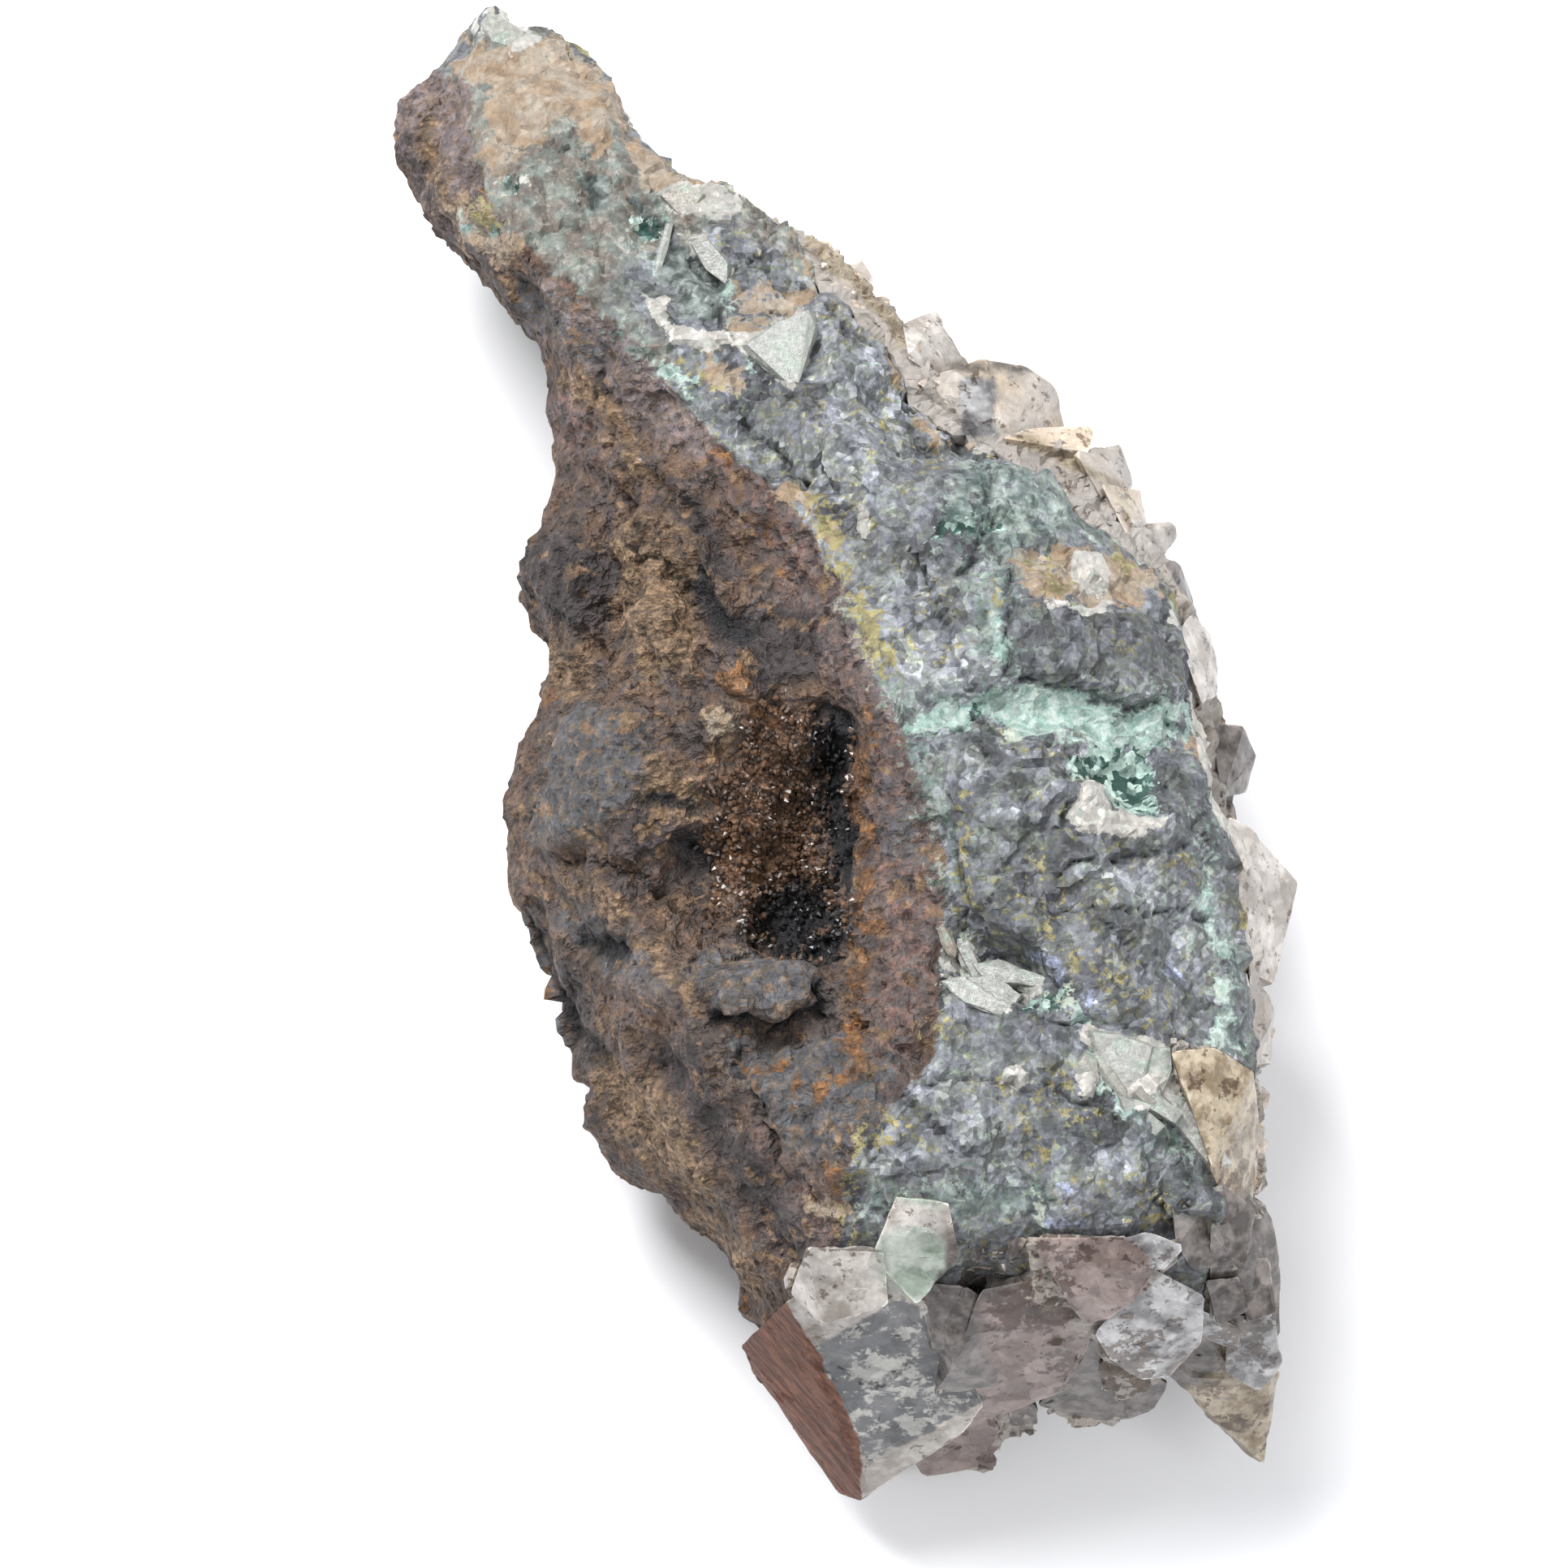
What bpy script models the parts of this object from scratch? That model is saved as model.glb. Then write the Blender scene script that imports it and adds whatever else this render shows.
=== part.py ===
"""A hand specimen of bournonite ore, lying on the flat fracture of its back.

One block of rock holds a rusty gossan on its left and a grey sulphide vein on its right.
Quartz crystals grew on the vein's right-hand wall and over the lower end, and a druse of
small crystals lines the vug in the gossan.

Sizes are in millimetres: x runs across the specimen to the vein's side, y along it to the
thin end, and z up from the surface that it rests on.
"""

import math
import random

import bmesh
import bpy
import numpy as np
from mathutils import Vector, noise
from mathutils.bvhtree import BVHTree

MM = 0.001

# The block: where its two ends are, and how finely it is faceted.
TOP_END_Y = 71.0
LOWER_END_Y = -47.5
TOP_ROUNDING = 5.0
LOWER_ROUNDING = 4.0
END_SHARE = 0.25      # the share of its section that is left at the very end
SECTIONS = 60

# Lines that run the length of the block, from the thin end down: (x, y, z) of each landmark.
LEFT_RIM = [
    (-26.6, 71.5, 20), (-27.8, 68.8, 20), (-31, 65.3, 19), (-34.4, 62, 18), (-34, 58, 17),
    (-32.2, 53.5, 17), (-29.8, 51.7, 17), (-25.8, 48, 16), (-22.5, 41.8, 16), (-20.5, 39, 16),
    (-19.8, 33.5, 16), (-19.8, 32, 16), (-21.6, 30, 16), (-21.6, 25.3, 17), (-24, 21.5, 18),
    (-23.4, 17.5, 18), (-18.6, 14.7, 18), (-20.6, 10.2, 18), (-22.2, 7, 17), (-23.5, 3, 16),
    (-24.5, -1.7, 15), (-23.2, -8, 14), (-20.5, -12.3, 14), (-19.2, -16.5, 14), (-16.8, -20.7, 14),
    (-16.4, -23, 14), (-14.8, -27.6, 14), (-11, -31, 14), (-7.7, -34.5, 14), (-4.7, -37.7, 13),
    (-4.1, -40, 13), (-4.2, -43.6, 12), (-2.7, -45.4, 11), (0.5, -49, 9),
]
FLANK = [
    (-26.6, 68, 22), (-31, 60, 22), (-30.7, 53.5, 22), (-24.3, 45.7, 22), (-20.6, 38.8, 22),
    (-18, 32, 22), (-18, 25, 23), (-18.6, 17.5, 25), (-16.8, 11.7, 25), (-19, 6, 25),
    (-20.8, 0.7, 24), (-21, -6, 23), (-19, -12, 22), (-17, -17.5, 22), (-13, -25, 24),
    (-8.3, -31.3, 25), (-4.3, -36.7, 25), (-2, -41.6, 23), (-1.5, -46, 16),
]
SHOULDER = [
    (-26, 66.5, 24), (-27.8, 58, 27), (-27.6, 50.3, 28), (-21.4, 42.6, 29), (-16.6, 35.6, 30),
    (-13, 28.8, 31), (-11, 22.4, 31), (-11, 15, 32), (-11.6, 9, 33), (-13.6, 3.4, 33),
    (-14.5, -2.2, 33), (-14.5, -8.8, 32), (-12.8, -15, 32), (-10.8, -20.7, 33), (-5.6, -25.6, 36),
    (-2.3, -30.8, 38), (0.6, -35.6, 38.5), (2.2, -39.5, 38), (2.2, -43, 33), (1.6, -46.4, 24),
]
CONTACT = [
    (-25, 67, 26), (-25, 58, 30), (-24.2, 52.7, 31), (-24.8, 48.3, 31), (-18, 41.3, 33),
    (-11.8, 34.4, 35), (-5.7, 25.8, 37), (1.3, 18, 39), (4.8, 12, 40), (7.7, 3.4, 41),
    (10.6, -3, 42), (12.2, -10, 42), (13, -15.3, 42), (12.8, -21.3, 42), (11, -27.3, 42),
    (7.6, -33.3, 42), (5.3, -36.6, 42), (5, -41, 40), (5, -44, 33), (5, -47, 25),
]
CREST = [
    (-23.5, 68, 24), (-18.8, 58, 31), (-16.6, 50.4, 33), (-11, 41.6, 35), (-2.4, 33.6, 37),
    (5.5, 24.8, 39.5), (14, 16.6, 41), (19.8, 8.6, 42), (23, 0.2, 42.5), (24, -8.2, 43),
    (24.7, -16.2, 43), (24.5, -24.3, 43), (22.6, -32, 42.5), (20.6, -38, 42), (20, -41.8, 40),
    (20, -44, 32), (19, -47.5, 22),
]
RIGHT_RIM = [
    (-25, 71, 21), (-23.4, 67.6, 24), (-19.6, 64, 27), (-15, 60.6, 28), (-13.4, 56.5, 29),
    (-9, 53, 30), (-2.8, 49.8, 31), (1.3, 45, 32), (4.3, 41, 33), (8.6, 34.8, 34),
    (12, 29.4, 35), (17.5, 25, 35), (24, 21.6, 35), (28, 18, 35), (31.3, 12.4, 35),
    (32.8, 5.8, 36), (33, 1, 36), (35, -4.5, 36), (35.4, -11.4, 36), (36.6, -16.8, 36),
    (37.5, -23.6, 36), (36.3, -28.6, 37), (34.3, -33.5, 38), (34.5, -38.8, 38), (34, -42, 36),
    (32, -45, 28), (30, -47.5, 22),
]
WALL_OUT = 1.0        # how far the right-hand wall bellies out past its rim
WALL_HEIGHT = 0.55    # the belly's height, as a share of the rim's
BACK_LEFT_IN = 8.0    # how far the back's edges lie in from the two sides
BACK_RIGHT_IN = 9.0
BACK_HEIGHT = [(-48, 1.0), (-40, -2.0), (24, -2.5), (42, 2.0), (72, 10.0)]  # (y, z) of the back

# Facets along each side of a section, from the left rim over the face and round the back.
SIDE_FACETS = (3, 4, 8, 6, 6, 4, 3, 5, 3)

# Roughness of a broken surface: flat chips, and the lumps between them.
CHIP_SIZE, CHIP_DEPTH = 9.0, 1.5
CHIP_SLOPE = 2.6      # how steeply the chips lean
LUMP_SIZE, LUMP_DEPTH = 7.0, 0.9
SWELL_SIZE, SWELL_DEPTH = 24.0, 1.6

# Hollows (below zero) and lumps of the face: (x, y), half length and width, turn in degrees
# of the long side from +x, and height.
FACE_FORMS = {
    "vug": ((-1.4, -8.0), 11.5, 6.2, 76, -5.0),
    "vug_deep_side": ((1.2, -9.0), 9.0, 3.2, 78, -6.0),
    "vug_left_pit": ((-8.6, -10.0), 2.8, 2.0, 30, -3.0),
    "lump_below_vug": ((-2.2, -21.4), 4.8, 2.8, -10, 3.2),
    "lump_left_of_it": ((-8.4, -19.6), 3.6, 2.6, 10, 1.6),
    "step_under_lump": ((1.5, -26.0), 6.0, 1.7, 10, -2.0),
    "left_cheek": ((-15.0, -3.0), 9.0, 5.0, 80, 1.6),
    "rib": ((-9.6, 14.0), 8.0, 2.1, 103, 2.2),
    "second_rib": ((-4.4, 12.0), 8.5, 1.6, 118, 1.6),
    "trough_between_ribs": ((-7.2, 11.0), 7.0, 1.3, 112, -2.4),
    "trough_left_of_rib": ((-13.6, 17.0), 6.0, 2.2, 85, -2.0),
    "hollow_by_contact": ((-0.6, 11.0), 6.0, 3.6, 110, -1.8),
    "left_knob": ((-19.0, 19.6), 4.4, 3.6, 20, 2.0),
    "dark_block": ((25.5, 6.6), 8.4, 4.6, -22, 2.0),
    "grey_block": ((18.0, -5.0), 6.6, 5.2, 20, 1.3),
    "middle_block": ((27.0, -11.5), 7.6, 4.4, -14, 1.2),
    "malachite_seam": ((22.4, -0.4), 10.5, 1.7, -4, -1.6),
    "white_pocket": ((27.2, -4.6), 3.2, 2.4, -10, -2.0),
    "blade_pocket": ((17.0, -19.8), 5.0, 2.0, -20, -1.8),
    "quartz_pocket": ((26.0, -26.0), 4.6, 2.2, -35, -1.6),
    "upper_pocket": ((-5.8, 43.6), 3.4, 2.4, -60, -1.6),
}
FORM_EDGE = 0.35      # the share of a form's size over which it fades out
FORM_MIN_UP = 0.2     # a surface that looks up less than this has no forms
FORM_UP_FADE = 0.4    # and one that looks up this much more has them in full

# Quartz.
GAP = 0.3             # left between a crystal and the rock that it grew on
CRUST_LINE = [        # the middle of the quartz layer on the right-hand wall, (x, y, z)
    (-9, 51.5, 22), (-3, 47.5, 23), (3, 43, 24), (8, 37.5, 25), (12, 31.5, 26), (17, 27, 26),
    (23, 22.5, 26), (28, 18.5, 26), (31, 13, 25), (32.6, 6, 24), (33.4, 0, 22), (33.8, -6, 21),
    (34.8, -14, 20), (35.6, -22, 20), (35.4, -30, 20), (34.6, -38, 20), (33, -44, 18),
]
CRUST_HALF_WIDTH = 3.6
CRUST_HALF_HEIGHT = 8.0

# Blocks and plates, each the convex hull of its corners (x, y, z).
EDGE_BLOCKS = {
    "thin_chip": [(9, 38, 26), (9.9, 37.7, 32), (12.6, 39.6, 30), (15.4, 35.2, 29), (13, 33, 31),
                  (10.3, 34, 34), (13, 34, 22), (14.5, 37, 24)],
    "smoky_block": [(11, 32, 33.5), (16.5, 34.6, 32), (20, 35.1, 29.5), (22.4, 33.9, 27.5),
                    (23.3, 31, 26), (18.5, 27, 32.5), (12, 30, 24), (17, 33, 19), (22.5, 31, 18),
                    (18, 27, 20)],
    "tan_block": [(18, 27, 33.8), (20, 28.6, 32), (25.5, 29, 31), (24.5, 29.6, 25), (25, 26.5, 32),
                  (20, 25, 26), (24, 26, 22)],
    "tan_wedge": [(24, 26, 33), (27.9, 29, 27), (28.9, 25.6, 27), (26, 22, 33.5), (24, 24, 22),
                  (28, 26, 20)],
    "tan_step": [(26, 23, 33.8), (29.5, 24.6, 28), (30, 21.6, 28), (28, 19, 33), (27, 21, 21)],
    "white_tooth": [(28, 21, 29.5), (32.3, 22.5, 26), (32.6, 21.4, 25), (31.2, 19.6, 25.6),
                    (28.6, 18.6, 29), (28.5, 20, 22)],
    "brown_knob": [(29.6, 18, 31.5), (32.6, 18.4, 27), (34, 15.4, 25), (32.4, 12.4, 31),
                   (29.5, 14, 31), (31, 15, 18), (33, 16.5, 20)],
    "white_block": [(32, 10, 33.6), (33.4, 13, 30), (35.2, 12.4, 27), (35.7, 7.6, 26),
                    (34, 4.4, 32.6), (32, 6, 20), (35, 10, 18)],
    "square_block": [(35, 4.6, 27), (37.8, 4.9, 25), (38.8, 3.2, 23), (38, 0, 23), (35.8, -2.2, 28),
                     (34, 2, 16), (37.6, 2.4, 16)],
    "pale_fang": [(36, -4.9, 31.6), (38, -5.2, 29), (42, -8.2, 24), (41.6, -10, 22.6),
                  (39.8, -16.6, 24), (37.9, -17, 28), (36.6, -11, 32), (36, -7, 16),
                  (40, -9.5, 14), (38, -15, 15)],
    "green_edge": [(37.4, -17, 33), (39.6, -20.5, 29), (39.2, -24.6, 28), (37.4, -26, 32),
                   (37, -21, 20), (39, -22.5, 19)],
    "tan_plate": [(30.5, -26.6, 42.3), (34, -25.6, 39), (38, -27, 34), (37.6, -31.6, 31.5),
                  (37.4, -38, 30.5), (35.6, -40.5, 33), (33.8, -36, 39.4), (36, -29, 22),
                  (36, -37, 21), (32, -30, 34)],
}
END_BLOCKS = {
    "stained_block": [(0.4, -45.6, 33), (5, -44, 36), (9.8, -44.3, 35.4), (16, -51, 20),
                      (14.4, -52.6, 16.6), (6.6, -56, 9.6), (6.2, -55.8, 6.6), (-3.4, -46.4, 21),
                      (-2.6, -46.8, 14), (4.6, -55, 5.6), (12, -46, 6), (2, -44, 6), (9, -41, 20)],
    "shoulder_block": [(1.8, -42.6, 38.4), (7.8, -43, 38), (8.2, -46.4, 34.6), (3, -47.6, 33.4),
                       (2, -43, 28), (8, -42, 28), (0.6, -45.2, 33.6)],
    "green_crystal": [(8.8, -39.6, 42.4), (12.8, -40.2, 42.6), (13.8, -43.4, 38.4),
                      (10.5, -46, 33.6), (7, -43.2, 36.8), (9, -40, 30), (13, -41, 31)],
    "small_dark_block": [(10.6, -44.4, 34), (14.2, -44.6, 34), (15, -47.6, 29), (12, -48.4, 27.6),
                         (10, -44, 26), (14, -44, 25)],
    "rounded_plate": [(14.4, -47.6, 30), (15.6, -45, 34), (20.2, -44, 34), (24.8, -46.4, 29.4),
                      (24.3, -47.9, 25), (22, -50.2, 20.6), (16.2, -51.6, 17.4), (14.6, -50, 21),
                      (16, -43, 24), (23, -43.5, 20), (17, -46, 13)],
    "pink_plate": [(18.6, -42.2, 39.6), (27.8, -42.4, 39.6), (29.8, -44.3, 36), (27.8, -46.8, 31),
                   (24, -47.8, 27.6), (20, -46, 32.6), (20, -41, 30), (28, -41, 29)],
    "grey_plate": [(24.8, -47.6, 29), (29, -43.8, 35.6), (33.4, -45, 31.4), (31.9, -48.2, 26),
                   (30.2, -49.8, 21.6), (26.8, -50.8, 17), (25, -49.6, 20), (28, -43, 24),
                   (32, -43.6, 20)],
    "brown_plate": [(21.2, -50.2, 13), (24, -46.6, 23), (28.8, -48.9, 18), (27.7, -50.8, 11.4),
                    (24, -51, 9.6), (22, -45, 12), (28, -45, 12)],
    "spike_plate": [(30, -47, 19.4), (33, -44.6, 26), (39.6, -44.6, 22), (40.2, -47.4, 14.6),
                    (39.4, -52.9, 7), (38.2, -51.8, 5.4), (31, -46, 15), (39, -45, 12)],
    "finger_crystal": [(29.6, -44, 30), (36.6, -46.6, 27.6), (36.3, -47.7, 25), (30.6, -46, 27),
                       (30, -44, 25), (35.6, -45.4, 24.6)],
    "corner_block": [(36, -36, 33), (38.8, -38, 31), (39.6, -42, 28), (39.8, -46, 24),
                     (37.6, -48.8, 20), (34, -45.8, 28.4), (33.6, -40.8, 37.4), (34, -42, 16),
                     (38.6, -43, 14)],
    "under_block": [(10.6, -51.4, 9), (12.8, -49.4, 14), (18.4, -49.4, 13), (18.2, -51.8, 8),
                    (16.9, -53.2, 3.4), (13.2, -53, 3), (11, -47, 5), (17, -46, 5)],
    "under_chip": [(18, -49, 13), (20.6, -50.4, 12), (21, -51.4, 9), (18.4, -51, 7), (19, -46, 8)],
}
END_BASE = [          # the quartz that all the end crystals stand on
    (0, -43, 31), (8, -42.5, 35), (20, -42, 36), (31, -42.5, 34), (36, -42, 28), (37, -43, 12),
    (30, -46, 8), (18, -47.5, 6), (6, -47.5, 5), (-1, -45.5, 12), (3, -39, 8), (33, -38, 8),
    (4, -39, 30), (33, -38, 30), (12, -47, 24), (28, -46, 24),
]
SEED = 41
WALL_CRYSTALS = 20    # crystals on the wall below the named ones
CRYSTAL_WIDTH = (3.0, 5.5)
CRYSTAL_LENGTH = (4.5, 6.5)
POINT_SHARE = 0.45    # the share of a crystal's length that its pointed end takes
NECK_SHARES = (1.15, 0.8)     # how far down the point starts, turn about, along its edges
TIP_SHIFT = 0.06      # how far the tip is off the axis, as a share of the width
WALL_DROP = (-8.5, -1.0)      # height of the wall's crystals over the crust's line
WALL_DROP_LEAN = 14.0         # the drop at which they lean down by one part in one
WALL_SWING = 0.6
WALL_LEAN = (-0.2, 0.3)
CRYSTAL_ROOT = 1.5    # how deep they start inside the crust
CRUST_SIDES = 8
CRUST_END_SHARE = 0.45        # the share of its thickness that the crust has at its two ends
CRUST_WAVE, CRUST_WAVE_SIZE = 0.9, 3.0

# The druse in the vug.
DRUSE_CENTRE, DRUSE_HALF, DRUSE_TURN = (0.2, -8.6), (9.6, 4.3), 77
DRUSE_GRID = (18, 9)
DRUSE_BASE, DRUSE_POINT = 0.7, 1.3
DRUSE_ROUND = 0.5     # how far the sheet's corners are rounded off
DRUSE_DEPTH = 1.5     # how far the blank reaches into the rock
ABOVE_ALL = 80.0


def clear_scene():
    for thing in list(bpy.data.objects):
        bpy.data.objects.remove(thing, do_unlink=True)


def stone(name, colour, roughness, metallic=0.0):
    """A Principled material of one mineral's colour."""
    material = bpy.data.materials.new(name)
    material.use_nodes = True
    shader = material.node_tree.nodes["Principled BSDF"]
    shader.inputs["Base Color"].default_value = (*colour, 1.0)
    shader.inputs["Roughness"].default_value = roughness
    shader.inputs["Metallic"].default_value = metallic
    return material


def add_object(name, mesh, material=None):
    thing = bpy.data.objects.new(name, mesh)
    bpy.context.scene.collection.objects.link(thing)
    if material:
        mesh.materials.append(material)
    return thing


def mesh_from(name, form):
    """The mesh of a bmesh drawn in millimetres, in metres."""
    bmesh.ops.scale(form, vec=(MM, MM, MM), verts=form.verts)
    mesh = bpy.data.meshes.new(name)
    form.to_mesh(mesh)
    form.free()
    return mesh


def along(line, y):
    """(x, z) of a landmark line where it passes y."""
    points = np.array(sorted(line, key=lambda point: point[1]))
    return np.array([np.interp(y, points[:, 1], points[:, 0]), np.interp(y, points[:, 1], points[:, 2])])


def section(y):
    """The block's outline at y: its corners as (x, z), from the left rim over the face and round."""
    left, right = along(LEFT_RIM, y), along(RIGHT_RIM, y)
    wall = np.array([right[0] + WALL_OUT, right[1] * WALL_HEIGHT])
    back = np.interp(y, *zip(*BACK_HEIGHT))
    back_left = np.array([left[0] + BACK_LEFT_IN, back])
    back_right = np.array([wall[0] - BACK_RIGHT_IN, back])
    if back_left[0] > back_right[0] - 2:
        middle = (back_left[0] + back_right[0]) / 2
        back_left[0], back_right[0] = middle - 1, middle + 1
    corners = [left, along(FLANK, y), along(SHOULDER, y), along(CONTACT, y), along(CREST, y), right,
               wall, back_right, back_left]
    return np.array(corners)


def end_share(y):
    """How much of its full section the block has at y: it rounds off at both ends."""
    reach = min(1.0, (TOP_END_Y - y) / TOP_ROUNDING, (y - LOWER_END_Y) / LOWER_ROUNDING)
    return END_SHARE + (1 - END_SHARE) * math.sqrt(max(0.0, 1 - (1 - reach) ** 2))


def ring(y):
    """The facet corners of one section."""
    corners = section(y)
    middle = corners.mean(axis=0)
    corners = middle + (corners - middle) * end_share(y)
    points = []
    for side, facets in enumerate(SIDE_FACETS):
        start, end = corners[side], corners[(side + 1) % len(corners)]
        points += [start + (end - start) * step / facets for step in range(facets)]
    return [Vector((x, y, z)) for x, z in points]


def chips(point):
    """Height of a broken surface made of flat chips, from -1 to 1."""
    centre = noise.voronoi(point / CHIP_SIZE)[1][0]
    slope = noise.cell_vector(centre * 7.3) - Vector((0.5, 0.5, 0.5))
    return max(-1.0, min(1.0, CHIP_SLOPE * (point / CHIP_SIZE - centre).dot(slope)))


def roughness(point):
    """Height in mm of the broken surface at a point."""
    lumps = noise.fractal(point / LUMP_SIZE, 0.9, 2.1, 3)
    swell = noise.noise(point / SWELL_SIZE + Vector((3.1, 7.7, 1.9)))
    return CHIP_DEPTH * chips(point) + LUMP_DEPTH * lumps + SWELL_DEPTH * swell


def form_height(x, y):
    """Height in mm that the named hollows and lumps add to the face at (x, y)."""
    height = 0.0
    for (centre_x, centre_y), half_length, half_width, turn, rise in FACE_FORMS.values():
        angle = math.radians(turn)
        dx, dy = x - centre_x, y - centre_y
        across = (dx * math.cos(angle) + dy * math.sin(angle)) / half_length
        other = (-dx * math.sin(angle) + dy * math.cos(angle)) / half_width
        reach = (1 + FORM_EDGE - math.hypot(across, other)) / (2 * FORM_EDGE)
        reach = max(0.0, min(1.0, reach))
        height += rise * reach * reach * (3 - 2 * reach)
    return height


def ore_block():
    """The rock: a loft through the sections, broken up, and cut flat where it rests."""
    form = bmesh.new()
    rings = [[form.verts.new(point) for point in ring(y)]
             for y in np.linspace(LOWER_END_Y, TOP_END_Y, SECTIONS)]
    for lower, upper in zip(rings, rings[1:]):
        for i in range(len(lower)):
            j = (i + 1) % len(lower)
            form.faces.new((lower[i], lower[j], upper[j], upper[i]))
    for end in (rings[0], rings[-1]):
        form.faces.new(end)
    bmesh.ops.recalc_face_normals(form, faces=form.faces)
    caps = [face for face in form.faces if len(face.verts) > 4]
    bmesh.ops.poke(form, faces=caps)
    bmesh.ops.smooth_vert(form, verts=form.verts, factor=0.5, use_axis_x=True, use_axis_y=True,
                          use_axis_z=True)
    form.normal_update()
    places = [(v, v.co.copy(), v.normal.copy()) for v in form.verts]
    for vertex, point, normal in places:
        vertex.co = point + normal * roughness(point)
        if normal.z > FORM_MIN_UP:
            share = min(1.0, (normal.z - FORM_MIN_UP) / FORM_UP_FADE)
            vertex.co.z += form_height(point.x, point.y) * share
        vertex.co.z = max(vertex.co.z, 0.0)
    bmesh.ops.triangulate(form, faces=form.faces, quad_method="SHORT_EDGE")
    return mesh_from("ore_block", form)


def swollen(mesh, by):
    """A hidden copy of the rock, larger by the gap that the crystals keep to it."""
    form = bmesh.new()
    form.from_mesh(mesh)
    form.normal_update()
    for vertex in form.verts:
        vertex.co += vertex.normal * by * MM
    mesh = bpy.data.meshes.new("rock_cutter")
    form.to_mesh(mesh)
    form.free()
    return hidden(add_object("rock_cutter", mesh))


def hidden(thing):
    thing.hide_render = True
    thing.display_type = "WIRE"
    return thing


def hull(name, corners):
    """A hidden flat-faced solid, the convex hull of its corners."""
    form = bmesh.new()
    for corner in corners:
        form.verts.new(corner)
    made = bmesh.ops.convex_hull(form, input=form.verts)
    loose = [v for v in made["geom_interior"] if isinstance(v, bmesh.types.BMVert)]
    bmesh.ops.delete(form, geom=loose, context="VERTS")
    bmesh.ops.recalc_face_normals(form, faces=form.faces)
    return hidden(add_object(name, mesh_from(name, form)))


def crystal(name, foot, way, width, length, turn):
    """A six-sided quartz crystal with an uneven pointed end."""
    way = Vector(way).normalized()
    side = way.orthogonal().normalized()
    other = way.cross(side)
    corners = []
    for i in range(6):
        angle = turn + i * math.tau / 6
        out = (side * math.cos(angle) + other * math.sin(angle)) * width / 2
        neck = length * (1 - POINT_SHARE * NECK_SHARES[i % 2])
        corners += [foot + out, foot + out + way * neck]
    corners.append(foot + way * length + side * width * TIP_SHIFT)
    return hull(name, corners)


def crust_base():
    """The quartz layer that follows the right-hand wall."""
    form = bmesh.new()
    rings = []
    for i, (x, y, z) in enumerate(CRUST_LINE):
        before = Vector(CRUST_LINE[max(0, i - 1)])
        after = Vector(CRUST_LINE[min(len(CRUST_LINE) - 1, i + 1)])
        out = (after - before).cross(Vector((0, 0, 1))).normalized() * -1
        end = CRUST_END_SHARE if i in (0, len(CRUST_LINE) - 1) else 1.0
        ends = []
        for k in range(CRUST_SIDES):
            angle = k * math.tau / CRUST_SIDES
            point = Vector((x, y, z)) + out * (CRUST_HALF_WIDTH * end * math.cos(angle))
            point.z += CRUST_HALF_HEIGHT * end * math.sin(angle)
            point += out * CRUST_WAVE * noise.noise(point / CRUST_WAVE_SIZE)
            ends.append(form.verts.new(point))
        rings.append(ends)
    for lower, upper in zip(rings, rings[1:]):
        for i in range(CRUST_SIDES):
            j = (i + 1) % CRUST_SIDES
            form.faces.new((lower[i], lower[j], upper[j], upper[i]))
    form.faces.new(rings[0])
    form.faces.new(rings[-1])
    bmesh.ops.triangulate(form, faces=form.faces)
    bmesh.ops.recalc_face_normals(form, faces=form.faces)
    return mesh_from("quartz_edge_crust", form)


def wall_crystals():
    """Smaller crystals that stand out of the wall below the named ones."""
    pick = random.Random(SEED)
    line = [Vector(point) for point in CRUST_LINE[1:]]
    made = []
    for i in range(WALL_CRYSTALS):
        place = (i + pick.uniform(0.2, 0.8)) / WALL_CRYSTALS * (len(line) - 1)
        start = int(place)
        foot = line[start].lerp(line[start + 1], place - start)
        out = (line[start + 1] - line[start]).cross(Vector((0, 0, 1))).normalized() * -1
        drop = pick.uniform(*WALL_DROP)
        swing = pick.uniform(-WALL_SWING, WALL_SWING)
        way = out + Vector((0, swing, drop / WALL_DROP_LEAN + pick.uniform(*WALL_LEAN)))
        foot += Vector((0, 0, drop)) - out * CRYSTAL_ROOT
        made.append(crystal(f"wall_crystal_{i}", foot, way, pick.uniform(*CRYSTAL_WIDTH),
                            pick.uniform(*CRYSTAL_LENGTH), pick.uniform(0, 1)))
    return made


def grown_together(name, base_mesh, crystals, material):
    """The base and its crystals as one solid."""
    group = bpy.data.collections.new(name + "_crystals")
    for thing in crystals:
        group.objects.link(thing)
    body = add_object(name, base_mesh, material)
    union = body.modifiers.new("grown_together", "BOOLEAN")
    union.operation = "UNION"
    union.operand_type = "COLLECTION"
    union.collection = group
    return body


def seat_on_rock(body, cutter):
    """Cuts a body back from the rock, then drops the crumbs that the cut leaves apart."""
    cut = body.modifiers.new("seat_on_rock", "BOOLEAN")
    cut.operation = "DIFFERENCE"
    cut.object = cutter
    keep_largest(body)


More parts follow.
